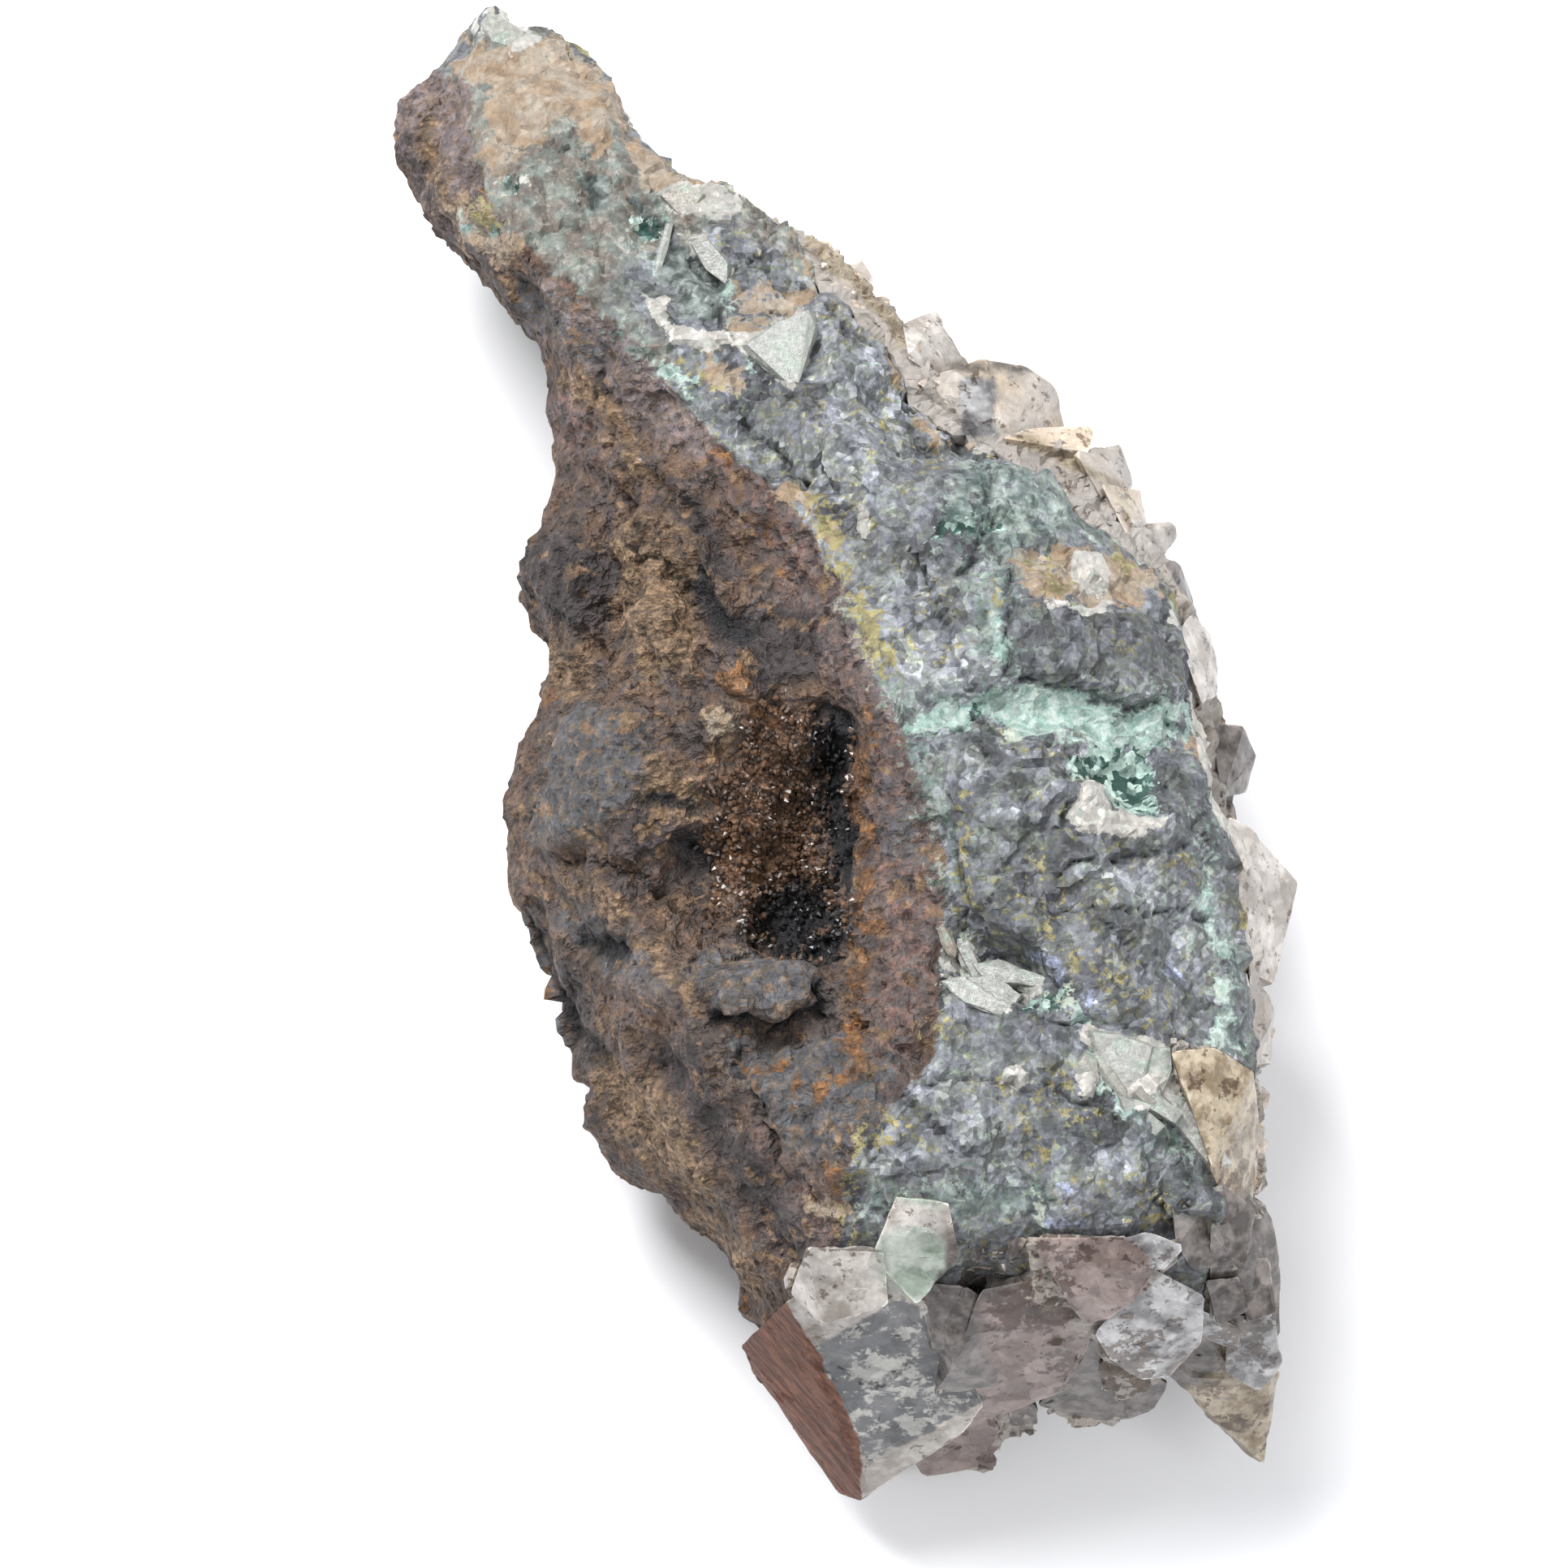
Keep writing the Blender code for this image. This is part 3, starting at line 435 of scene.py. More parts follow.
    "umber": zone(50, """
    645,663 700,656 760,690 752,768 690,776 636,730 /
    850,690 900,740 1000,750 1010,830 940,850 880,800 /
    620,1130 700,1180 760,1290 720,1320 650,1220 /
    820,1020 880,1000 900,1080 860,1110 /
    760,990 830,1000 820,1060 770,1050
    """, """
    30: 840,620 900,700 / 44: 830,1300 900,1420 980,1540 / 20: 500,170 530,260 600,330"""),
    # Painted glints on the vug's floor: the druse's crystals are made pale here.
    "sparkle": zone(30, """
    876,1130 930,1116 968,1136 980,1176 930,1186 884,1168"""),
    # Painted glints: bluish patches on the ore where it shows iridescent glints.
    "glint": zone(16, strokes="""
    16: 1278,1172 1300,1186 1308,1204 / 14: 1338,1222 1362,1242 / 14: 1304,1456 1322,1466 / 16: 1292,1498
    1336,1508 / 12: 1432,1190 1450,1210"""),
    # What stands above its surroundings.
    "ledge": zone(20, """
    850,1196 900,1166 960,1186 1008,1180 1006,1236 970,1256 880,1248 /
    905,1296 1010,1270 1040,1200 1130,1330 1090,1400 1010,1474 985,1470 940,1380 /
    760,630 800,640 850,740 862,830 820,836 770,740 /
    640,900 700,860 790,880 810,950 760,1010 680,1060 630,1010 /
    860,720 900,780 930,860 900,850 850,780 /
    650,664 700,660 752,700 745,760 690,760 645,720
    """, """
    20: 700,560 800,570 880,640 / 26: 720,1240 800,1330 860,1440"""),
}
EDGE_WANDER = 13.0    # how far noise moves a zone's edge
# Where the gossan meets the ore: y,x as the landmarks count.
CONTACT = listed("""
    -60,2 -47,4 -41,5 -36.6,5.3 -33.3,7.6 -27.3,11.1 -21.3,12.8 -15.3,13.1 -10,12.2 -3,10.6 3.4,7.7 12,4.8
    18,1.3 25.8,-5.7 34.4,-11.8 41.3,-17.9 48.3,-24.8 54,-25.6 60,-26.4 67,-30 75,-34
""")
RELIEF = {            # how far each zone stands out of the face, or lies under it
    "mint": -0.4, "teal": -0.7, "quartz": 0.35, "sage": -0.5, "dark": 0.45, "ochre": 0.1, "ledge": 0.8,
    "crack": -0.9, "black": -1.6, "umber": -0.4,
}


def outline_depth(places, outline):
    """Distance from each place to a closed outline, positive inside it."""
    closed = [*outline, outline[0]]
    u, v = places.T
    inside = np.zeros(len(u), bool)
    for (au, av), (bu, bv) in zip(closed, closed[1:]):
        if av != bv:
            inside ^= ((av > v) != (bv > v)) & (u < au + (v - av) * (bu - au) / (bv - av))
    nearest = line_distance(places, closed)
    return np.where(inside, nearest, -nearest)


def line_distance(places, line):
    """Distance from each place to a line of straight stretches."""
    u, v = places.T
    nearest = np.full(len(u), np.inf)
    for (au, av), (bu, bv) in zip(line, line[1:]):
        du, dv = bu - au, bv - av
        share = np.clip(((u - au) * du + (v - av) * dv) / (du * du + dv * dv), 0, 1)
        nearest = np.minimum(nearest, np.hypot(u - au - share * du, v - av - share * dv))
    return nearest


def ramped(depth, width):
    return np.clip(0.5 + depth / width, 0, 1)


def zone_mask(places, zone):
    """How much each place is in a zone, from 0 to 1."""
    edge, outlines, strokes = zone
    depths = [outline_depth(places, outline) for outline in outlines]
    depths += [width / 2 - line_distance(places, line) for width, line in strokes]
    return ramped(np.max(depths, axis=0), edge)


def wander(points, size, reach):
    """Two numbers a point that move it about, up to reach."""
    moves = [noise.noise_vector(Vector(p) / size) for p in points]
    return np.array([(m.x, m.y) for m in moves]) * reach


def seen_by_camera(out, past, width):
    """1 for normals that face the camera, fading over width to 0 at past beyond its horizon."""
    return np.clip((out @ SIGHT + past) / width, 0, 1)


# ---------------------------------------------------------------- surfaces of broken rock
def chips(point, size):
    """Height of a broken surface made of flat chips, from -1 to 1."""
    centre = noise.voronoi(point / size)[1][0]
    slope = noise.cell_vector(centre * 7.3) - Vector((0.5, 0.5, 0.5))
    return max(-1.0, min(1.0, 2.6 * (point / size - centre).dot(slope)))


def read(mesh, what):
    """A vector of every vertex: its coordinates, co, or its normal."""
    values = np.empty(len(mesh.vertices) * 3)
    mesh.vertices.foreach_get(what, values)
    return values.reshape(-1, 3)


def place_vertices(mesh, points):
    """Moves the vertices to points in millimetres, none of them below the floor."""
    points[:, 2] = np.maximum(points[:, 2], 0)
    mesh.vertices.foreach_set("co", (points * MM).ravel())
    mesh.update()


def set_masks(mesh, masks):
    """Keeps the masks on the vertices, several to a vector attribute, in the order of their names."""
    names = sorted(masks)
    for first in range(0, len(names), PER_PACK):
        values = np.zeros((len(mesh.vertices), PER_PACK))
        for part, name in enumerate(names[first:first + PER_PACK]):
            values[:, part] = masks[name]
        layer = mesh.attributes.new(f"masks_{first // PER_PACK}", "FLOAT_VECTOR", "POINT")
        layer.data.foreach_set("vector", values.ravel())


def add_object(name, data):
    thing = bpy.data.objects.new(name, data)
    bpy.context.scene.collection.objects.link(thing)
    return thing


def remeshed(name, source, voxel):
    """A copy of a closed mesh with even faces of that size."""
    form = bmesh.new()
    form.from_mesh(source)
    bmesh.ops.remove_doubles(form, verts=form.verts, dist=1e-6)
    mesh = bpy.data.meshes.new(name)
    form.to_mesh(mesh)
    form.free()
    mesh.materials.clear()
    thing = add_object(name, mesh)
    remesh = thing.modifiers.new("even_faces", "REMESH")
    remesh.mode = "VOXEL"
    remesh.voxel_size = voxel * MM
    graph = bpy.context.evaluated_depsgraph_get()
    fine = bpy.data.meshes.new_from_object(thing.evaluated_get(graph))
    thing.modifiers.clear()
    thing.data = fine
    fine.name = name
    return thing


# ---------------------------------------------------------------- the rock
ROCK_VOXEL = 0.52
RIM_CALM = 0.6            # how much flatter the gossan's steep sides are than its face
CONTACT_WIDTH = 1.4       # over which the gossan gives way to the ore
FOOT_HEIGHT = 1.5         # below this the broken surface fades out towards the floor


def rock_zones(points, out):
    """The mask of every zone at each point of the rock, and which points the camera sees."""
    seen = seen_by_camera(out, past=0.05, width=0.25)
    places = project(points) + wander(points, 2.6, EDGE_WANDER) + wander(points, 0.9, EDGE_WANDER / 2)
    masks = {name: zone_mask(places, zone) * seen for name, zone in ZONES.items()}
    x, y, _ = (points + ORIGIN).T
    contact = np.interp(y, *zip(*CONTACT))
    drift = wander(points, 5.0, 1.2)[:, 0] + wander(points, 1.2, 0.35)[:, 0]
    masks["gossan"] = ramped(contact - x + drift, CONTACT_WIDTH)
    return masks, seen


def hidden_zones(points, masks, seen):
    """Patches of the same minerals on the sides and the back, which the picture doesn't reach."""
    gossan = masks["gossan"]
    ore = 1 - gossan
    patches = {       # the rock that they are on, their size, the noise's offset, the level they start at
        "mint": (ore, 6.0, (3, 0, 0), 0.25), "ochre": (ore, 4.0, (0, 9, 0), 0.22),
        "quartz": (ore, 9.0, (5, 5, 0), 0.3), "dark": (ore, 7.0, (0, 0, 8), 0.1),
        "light": (ore, 8.0, (7, 0, 2), 0.1), "rust": (gossan, 7.0, (1, 4, 9), 0.22),
        "gold": (gossan, 9.0, (8, 1, 0), 0.2), "bluegrey": (gossan, 10.0, (2, 2, 7), 0.15),
        "black": (gossan, 4.0, (6, 8, 3), 0.35),
    }
    for name, (side, size, offset, level) in patches.items():
        values = np.array([noise.fractal(Vector(p) / size + Vector(offset), 0.8, 2.1, 3) for p in points])
        patch = np.clip(0.5 + (values - level) * 3, 0, 1) * side * (1 - seen)
        masks[name] = np.maximum(masks[name], patch)


def rock_relief(point, gossan, smooth):
    """Height in mm of the broken surface: chips on the ore, lumps and pits on the gossan."""
    ore = 0.8 * chips(point, 6.4) + 0.25 * chips(point + Vector((9, 4, 1)), 2.6)
    ore += 0.1 * noise.fractal(point / 1.1, 0.9, 2.1, 2)
    lumps = 0.9 * noise.fractal(point / 3.6, 0.6, 2.1, 4) + 0.5 * chips(point, 3.4) + 0.15 * chips(point, 1.7)
    pits = noise.ridged_multi_fractal(point / 2.6, 0.8, 2.0, 4, 0.9, 2.0)
    crust = min(0.75, lumps + 0.42 * (pits - 1.1))
    return (ore * (1 - gossan) + crust * gossan) * (1 - 0.7 * smooth)


def rock():
    """The rock's own piece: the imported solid, with the broken surface and its zones."""
    thing = remeshed("ore_rock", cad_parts["ore_block"].data, ROCK_VOXEL)
    points, out = read(thing.data, "co") / MM, read(thing.data, "normal")
    masks, seen = rock_zones(points, out)
    hidden_zones(points, masks, seen)
    step = sum(height * masks[name] for name, height in RELIEF.items())
    smooth = np.maximum(masks["quartz"] * 0.7, masks["bluegrey"] * 0.35)
    rise = np.array([rock_relief(Vector(p), g, s) for p, g, s in zip(points, masks["gossan"], smooth)])
    rise *= 1 - RIM_CALM * masks["gossan"] * (1 - np.abs(out[:, 2]))
    rise += step
    points += out * (rise * np.clip(points[:, 2] / FOOT_HEIGHT, 0, 1))[:, None]
    place_vertices(thing.data, points)
    set_masks(thing.data, masks)
    return thing, masks


class RockShader(Shader):
    """The rock's shader, with the noises, cells and masks that its colours share."""

    def __init__(self):
        super().__init__("ore_rock", [*ZONES, "gossan"])
        self.fine = self.noise(0.5, 2)
        self.middle = self.noise(1.8, 3, offset=(5, 0, 0))
        self.coarse = self.noise(6.0, 2, 0.5, offset=(0, 9, 0))
        self.patches = self.noise(2.2, 4, 0.72, offset=(4, 4, 9))
        self.streak = self.noise(0.9, 3, 0.75, offset=(1, 8, 5))
        self.branching = self.noise(2.4, 3, 0.62, offset=(6, 6, 6))
        stirred = self.stirred(2.0, 2.2)
        self.drawn = self.vector("MULTIPLY", stirred, (1.0, 0.5, 0.8))
        self.grain = self.cells(0.6, self.place)
        self.shard = self.cells(1.4, self.drawn)
        self.grain_tone = self.chance(self.grain)
        self.tone = self.two_to(self.total(
            -3.62, (self.grain_tone, 1.0), (self.chance(self.shard), 1.0),
            (self.chance(self.cells(6.5, stirred)), 0.8), (self.middle, 1.6), (self.fine, 2.3),
            (self.edged("light", self.patches, 0.6), 0.25), (self.edged("dark", self.patches, 0.6), -0.45)))
        # Where the painted glare lies, at the narrow end.
        self.haze = self.math("MULTIPLY", self.edged("haze", self.patches, 1.0, 0.25), 0.85)


def ore_colour(s):
    """Grey ore: broken shards in blocks, with ochre and green films between them, and painted glare over the
    narrow end.
    """
    ore = s.shade((0.166, 0.173, 0.194), s.tone)
    film = s.spread(s.patches, 0.46, 0.6, 0.0, 0.55)
    ore = s.mix(film, ore, s.shade((0.145, 0.157, 0.124), s.tone))
    vein = s.math("ABSOLUTE", s.math("SUBTRACT", s.branching, 0.5))
    vein = s.math("MULTIPLY", s.spread(vein, 0.004, 0.035, 0.85, 0.0), s.spread(s.streak, 0.44, 0.58))
    film = s.blend(s.coarse, 0.46, 0.56, (0.2, 0.25, 0.19), (0.26, 0.235, 0.085))
    ore = s.mix(vein, ore, s.shade(film, s.tone))
    # Painted glare: a paler grey-green with less contrast over the narrow end.
    haze = s.blend(s.middle, 0.4, 0.6, (0.2, 0.165, 0.135), (0.185, 0.21, 0.185))
    haze = s.blend(s.streak, 0.52, 0.62, haze, (0.32, 0.3, 0.265))
    return s.mix(s.haze, ore, s.shade(haze, s.math("POWER", s.tone, 0.6)))


def gossan_colour(s):
    """Brown gossan, from mauve and slate to rusty and golden."""
    fibres = s.noise(0.5, 2, 0.7, place=s.vector("MULTIPLY", s.place, (0.3, 1.0, 0.6)))
    # Random tone, and painted shade: the middle and fine noise that raise the gossan's bump also make its
    # pits darker.
    tone_and_pit_shade = s.two_to(s.total(
        -3.85, (s.grain_tone, 0.8), (s.middle, 3.0), (s.fine, 1.8), (s.coarse, 1.4)))
    earth = s.blend(s.patches, 0.38, 0.6, (0.094, 0.075, 0.071), (0.155, 0.094, 0.061))
    layers = [        # zone, how much its edge breaks up, the noise between its two colours, its ends
        ("mauve", 1.2, s.streak, 0.42, 0.6, (0.2, 0.165, 0.17), (0.2, 0.142, 0.112)),
        ("red", 1.4, s.streak, 0.4, 0.62, (0.11, 0.092, 0.09), (0.17, 0.1, 0.08)),
        ("bluegrey", 1.8, s.streak, 0.46, 0.62, (0.096, 0.096, 0.106), (0.15, 0.112, 0.08)),
        ("gold", 1.0, fibres, 0.38, 0.6, (0.11, 0.072, 0.045), (0.3, 0.198, 0.12)),
    ]
    for name, amount, *colours in layers:
        earth = s.mix(s.edged(name, s.patches, amount), earth, s.blend(*colours))
    earth = s.mix(s.edged("umber", s.patches, 1.4), earth, (0.066, 0.052, 0.052))
    rust = s.blend(s.streak, 0.4, 0.6, (0.13, 0.068, 0.036), (0.25, 0.12, 0.048))
    earth = s.mix(s.specks("rust", s.patches, 0.39), earth, rust)
    flecks = s.spread(s.branching, 0.58, 0.64, 0.0, 0.8)
    earth = s.shade(s.mix(flecks, earth, (0.24, 0.15, 0.085)), tone_and_pit_shade)
    # Near-black in the black zone: partly black minerals, partly painted shadow in hollows and under the
    # lump.
    return s.mix(s.edged("black", s.streak, 1.2), earth, s.shade((0.018, 0.017, 0.02), tone_and_pit_shade))


def rock_material():
    """The two rocks, with the other minerals on top of them."""
    s = RockShader()
    gossan = s.edged("gossan", s.streak, 1.2, 0.12)
    colour = s.mix(gossan, ore_colour(s), gossan_colour(s))
    shades = s.two_to(s.total(-2.0, (s.grain_tone, 0.7), (s.fine, 1.4), (s.middle, 1.9)))
    calm = s.math("POWER", shades, 0.6)
    mint = s.blend(s.streak, 0.4, 0.6, (0.22, 0.325, 0.29), (0.38, 0.45, 0.415))
    white = s.blend(s.coarse, 0.4, 0.62, (0.45, 0.425, 0.395), (0.355, 0.34, 0.315))
    minerals = {      # where it is, its colour, how light and dark it is
        "tan": (s.specks("tan", s.patches, 0.45),
                s.blend(s.patches, 0.4, 0.62, (0.31, 0.265, 0.215), (0.27, 0.195, 0.13)), calm),
        "dusting": (s.math("MULTIPLY", s.specks("dusting", s.streak, 0.33), 0.75),
                    s.blend(s.middle, 0.42, 0.6, (0.115, 0.165, 0.15), (0.24, 0.285, 0.262)), shades),
        "ochre": (s.specks("ochre", s.streak, 0.35), (0.26, 0.228, 0.11), shades),
        "mint": (s.specks("mint", s.patches, 0.47),
                 s.mix(s.spread(s.coarse, 0.54, 0.64, 0.0, 0.8), mint, (0.45, 0.48, 0.4)), calm),
        "quartz": (s.specks("quartz", s.patches, 0.47),
                   s.mix(s.spread(s.streak, 0.54, 0.62, 0.0, 0.6), white, (0.3, 0.36, 0.31)), calm),
        "sage": (s.edged("sage", s.streak, 0.8),
                 s.blend(s.middle, 0.4, 0.6, (0.07, 0.085, 0.08), (0.18, 0.205, 0.195)), shades),
        "teal": (s.specks("teal", s.streak, 0.4),
                 s.blend(s.grain_tone, 0.3, 0.75, (0.035, 0.09, 0.075), (0.32, 0.41, 0.37)), shades),
        # Painted glints: bluish patches of colour standing in for iridescent glints.
        "glint": (s.specks("glint", s.streak, 0.36), (0.28, 0.31, 0.42), s.tone),
    }
    for mask, mineral, light in minerals.values():
        colour = s.mix(mask, colour, s.shade(mineral, light))
    # Painted shade in the cracks: their colour is drawn at 0.4 of its lightness.
    colour = s.mix(s.edged("crack", s.fine, 1.4), colour, s.shade(colour, 0.4))

    metal = s.rest(gossan)
    dull = [minerals[name][0] for name in ("mint", "quartz", "ochre", "tan", "dusting")]
    for mask in (*dull, s.haze):
        metal = s.math("MULTIPLY", metal, s.rest(mask))
    gloss = s.spread(s.chance(s.shard, (0, 1, 0)), 0.4, 1.0, 0.7, 0.42)
    roughness = s.lerp(minerals["quartz"][0], s.lerp(metal, 0.78, gloss), 0.4)

    pitted = s.math("MULTIPLY", s.facets(s.grain, s.place), 0.65)
    broken = s.math("MULTIPLY_ADD", s.facets(s.shard, s.drawn), 0.5, pitted)
    smooth = s.total(0.0, *((s.attribute(name), 1.0) for name in ("bluegrey", "mauve", "red")))
    grit = s.total(0.0, (s.fine, 0.7), (s.middle, 1.5))
    grit = s.math("MULTIPLY", grit, s.spread(smooth, 0.0, 1.0, 1.0, 0.5))
    height = s.lerp(s.attribute("gossan"), broken, s.math("ADD", grit, pitted))
    return s.paint(Base_Color=colour, Metallic=s.math("MULTIPLY", metal, 0.14), Roughness=roughness,
                   Normal=s.bump(height, 0.9))


# ---------------------------------------------------------------- quartz
# Blocks and plates, each the convex hull of its corners, as the landmarks count: first those along
# the vein's wall, then, from stained_block on, those at its lower end.
BLOCKS = dict(entries("""
    thin_chip: 9,38,26 9.9,37.7,32 12.6,39.6,30 15.4,35.2,29 13,33,31 10.3,34,34 13,34,22 14.5,37,24 /
    smoky_block: 11,32,33.5 16.5,34.6,32 20,35.1,29.5 22.4,33.9,27.5 23.3,31,26 18.5,27,32.5 12,30,24
    17,33,19 22.5,31,18 18,27,20 /
    tan_block: 18,27,33.8 20,28.6,32 25.5,29,31 24.5,29.6,25 25,26.5,32 20,25,26 24,26,22 /
    tan_wedge: 24,26,33 27.9,29,27 28.9,25.6,27 26,22,33.5 24,24,22 28,26,20 /
    tan_step: 26,23,33.8 29.5,24.6,28 30,21.6,28 28,19,33 27,21,21 /
    white_tooth: 28,21,29.5 32.3,22.5,26 32.6,21.4,25 31.2,19.6,25.6 28.6,18.6,29 28.5,20,22 /
    brown_knob: 29.6,18,31.5 32.6,18.4,27 34,15.4,25 32.4,12.4,31 29.5,14,31 31,15,18 33,16.5,20 /
    white_block: 32,10,33.6 33.4,13,30 35.2,12.4,27 35.7,7.6,26 34,4.4,32.6 32,6,20 35,10,18 /
    square_block: 35,4.6,27 37.8,4.9,25 38.8,3.2,23 38,0,23 35.8,-2.2,28 34,2,16 37.6,2.4,16 /
    pale_fang: 36,-4.9,31.6 38,-5.2,29 42,-8.2,24 41.6,-10,22.6 39.8,-16.6,24 37.9,-17,28 36.6,-11,32
    36,-7,16 40,-9.5,14 38,-15,15 /
    green_edge: 37.4,-17,33 39.6,-20.5,29 39.2,-24.6,28 37.4,-26,32 37,-21,20 39,-22.5,19 /
    tan_plate: 30.6,-27.8,42 34,-27,40.6 37.2,-28.2,38 37.8,-31.6,33.4 37.4,-38,30.5 35.6,-40.5,33
    33.6,-36,39.4 36,-29,22 36,-37,21 32,-30,34 /
    stained_block: 0.4,-45.6,33 5,-44,36 9.8,-44.3,35.4 16,-51,20 14.4,-52.6,16.6 6.6,-56,9.6 6.2,-55.8,6.6
    -3.4,-46.4,21 -2.6,-46.8,14 4.6,-55,5.6 12,-46,6 2,-44,6 9,-41,20 /
    shoulder_block: 1.8,-42.6,38.4 7.8,-43,38 8.2,-46.4,34.6 3,-47.6,33.4 2,-43,28 8,-42,28 0.6,-45.2,33.6 /
    green_crystal: 8.8,-39.6,42.4 12.8,-40.2,42.6 13.8,-43.4,38.4 10.5,-46,33.6 7,-43.2,36.8 9,-40,30
    13,-41,31 /
    small_dark_block: 10.6,-44.4,34 14.2,-44.6,34 15,-47.6,29 12,-48.4,27.6 10,-44,26 14,-44,25 /
    rounded_plate: 14.4,-47.6,30 15.6,-45,34 20.2,-44,34 24.8,-46.4,29.4 24.3,-47.9,25 22,-50.2,20.6
    16.2,-51.6,17.4 14.6,-50,21 16,-43,24 23,-43.5,20 17,-46,13 /
    pink_plate: 19.4,-42.4,40 26.6,-42.2,40 29.4,-43.9,37.8 27.6,-46,34.4 24,-47.4,31.6 22,-45.6,35.4
    21,-41,30 28,-41,29 /
    grey_plate: 24.8,-47.4,29.6 29,-43.8,36 33.4,-45,32 33.2,-47.6,27 31,-49.2,22.6 28.8,-49.4,22.2
    26,-48.6,26 28,-43,24 32,-43.6,20 /
    brown_plate: 20.8,-49.8,15 25,-46.8,28.4 28.6,-48.6,22 31,-49,18.6 30,-50,14.6 27.4,-50.6,12.4
    24,-50.2,12 22,-45,12 29,-45,12 /
    spike_plate: 30,-47,19.4 33,-44.6,26 39.6,-44.6,22 40.2,-47.4,14.6 39.4,-52.9,7 38.2,-51.8,5.4 31,-46,15
    39,-45,12 /
    finger_crystal: 29.6,-44,30 36.6,-46.6,27.6 36.3,-47.7,25 30.6,-46,27 30,-44,25 35.6,-45.4,24.6 /
    corner_block: 36,-36,33 38.8,-38,31 39.6,-42,28 39.8,-46,24 37.6,-48.8,20 34,-45.8,28.4 33.6,-40.8,37.4
    34,-42,16 38.6,-43,14 /
    under_block: 9.6,-51.6,9 12,-49.4,14 17.2,-49.2,14.6 17.6,-51.2,9.6 15.8,-52.6,4.6 11.6,-53,3 10,-47,5
    16,-46,5 /
    corner_top: 30.5,-39,38 34.5,-37.4,37.6 37.4,-38.6,34.2 36.6,-42.4,32.8 32.4,-43.4,34.2 31,-42,36.6
    33,-40,28 36,-41,27 /
    corner_dark: 36.2,-42,31.8 38.5,-41.6,30.6 39.3,-45,27 37,-46,27.8 36,-44,24 38.6,-44,22 /
    corner_low: 35.6,-45.6,27.8 39.2,-45.2,26.8 40,-48,21.6 38.4,-49.5,18.8 35.6,-48.6,21.4 36,-46,17
    39,-46,16 /
    corner_chip: 33.4,-44,33 36,-43.4,32 37,-45.4,29 34.6,-46.6,28.6 34,-44,27 36.4,-44.6,26 /
    seam_chip: 24.6,-42.6,38.6 28.4,-41.6,39.4 31.6,-42.2,37 30,-43.8,36 27,-43.6,36.6 28,-42,33 /
    dark_filler: 12.4,-45.2,32 16.4,-45.6,32 17,-50,23 12,-50.5,21 13.5,-49.6,27.5 12,-44,22 16,-44,22
    14.4,-44.6,34 /
    under_chip: 18.4,-48.6,14 20.6,-49.6,13.4 20.8,-50.6,11 18.6,-50.4,9.6 19,-46,9
"""))
# The quartz behind the end blocks, on which small crystals stand.
CREVICE_BASE = listed("""
    0,-43,31 8,-42.5,35 20,-42,36 31,-42.5,34 36,-42,28 37,-43,12 30,-46,8 18,-47.5,6 6,-47.5,5 -1,-45.5,12
    3,-39,8 33,-38,8 4,-39,30 33,-38,30 12,-47,24 28,-46,24
""")
QUARTZ_ZONES = {
    "brown": zone(10, """
    900,1630 958,1600 972,1610 1004,1660 1058,1770 1062,1850 1040,1860 950,1780"""),
    "smoke": zone(26, """
    1165,1515 1262,1515 1270,1575 1215,1600 1165,1590 /
    1150,1560 1206,1560 1210,1690 1160,1640 /
    1510,900 1545,900 1540,990 1510,1000 /
    1430,1690 1500,1640 1500,1690 1450,1720
    """, """
    10: 1180,452 1270,452 / 10: 1306,559 1312,556"""),
    "mottle": zone(16, """
    1000,1662 1047,1636 1109,1598 1190,1630 1215,1724 1150,1762 1066,1806 1056,1769"""),
    "pink": zone(24, strokes="""
    30: 1180,1790 1230,1800"""),
    "stain": zone(30, """
    1200,1584 1262,1570 1330,1580 1326,1630 1270,1650 1212,1640 /
    1276,1530 1340,1526 1346,1556 1300,1580 /
    1290,1660 1420,1640 1430,1730 1330,1740 /
    1485,1600 1560,1560 1560,1680 1500,1690 /
    1460,1470 1550,1440 1550,1540 1500,1560
    """, """
    12: 1480,1700 1540,1760 / 12: 985,1545 1075,1536"""),
    "frost": zone(30, """
    1180,470 1226,462 1226,536 1186,540
    """, """
    14: 1420,1556 1490,1566"""),
    "straw": zone(30, """
    1446,1312 1545,1340 1540,1430 1490,1400
    """, """
    20: 1000,300 1060,350 1120,420 1190,450 / 16: 1260,540 1380,600 1400,650"""),
    "pale": zone(24, """
    960,1612 1003,1541 1085,1540 1115,1617 1040,1640 1000,1680 /
    1060,1806 1215,1730 1230,1760 1100,1850 1050,1850 /
    1395,640 1442,640 1442,680 1395,680 /
    1440,760 1492,760 1496,850 1440,850 /
    1530,1010 1600,1060 1560,1210 1520,1160"""),
    "green": zone(40, """
    1078,1524 1120,1512 1172,1530 1182,1574 1150,1610 1096,1596
    """, """
    10: 1116,1470 1160,1480"""),
}
QUARTZ_WANDER = 5.0
QUARTZ_INDEX = 1.544      # of refraction
STREAK_WAY = (0.56, -0.54, -0.64)   # the length of the brown side of the block at the end
BLOCK_STYLES = {          # the blocks that have one of the zones' colours all over
    "pale": "thin_chip white_tooth white_block pale_fang shoulder_block green_crystal",
    "smoke": "square_block brown_knob small_dark_block brown_plate corner_block "
             "dark_filler under_chip corner_top corner_dark corner_chip",
    "straw": "tan_plate spike_plate",
    "pink": "rounded_plate pink_plate under_block",
    "frost": "grey_plate finger_crystal corner_low seam_chip",
}
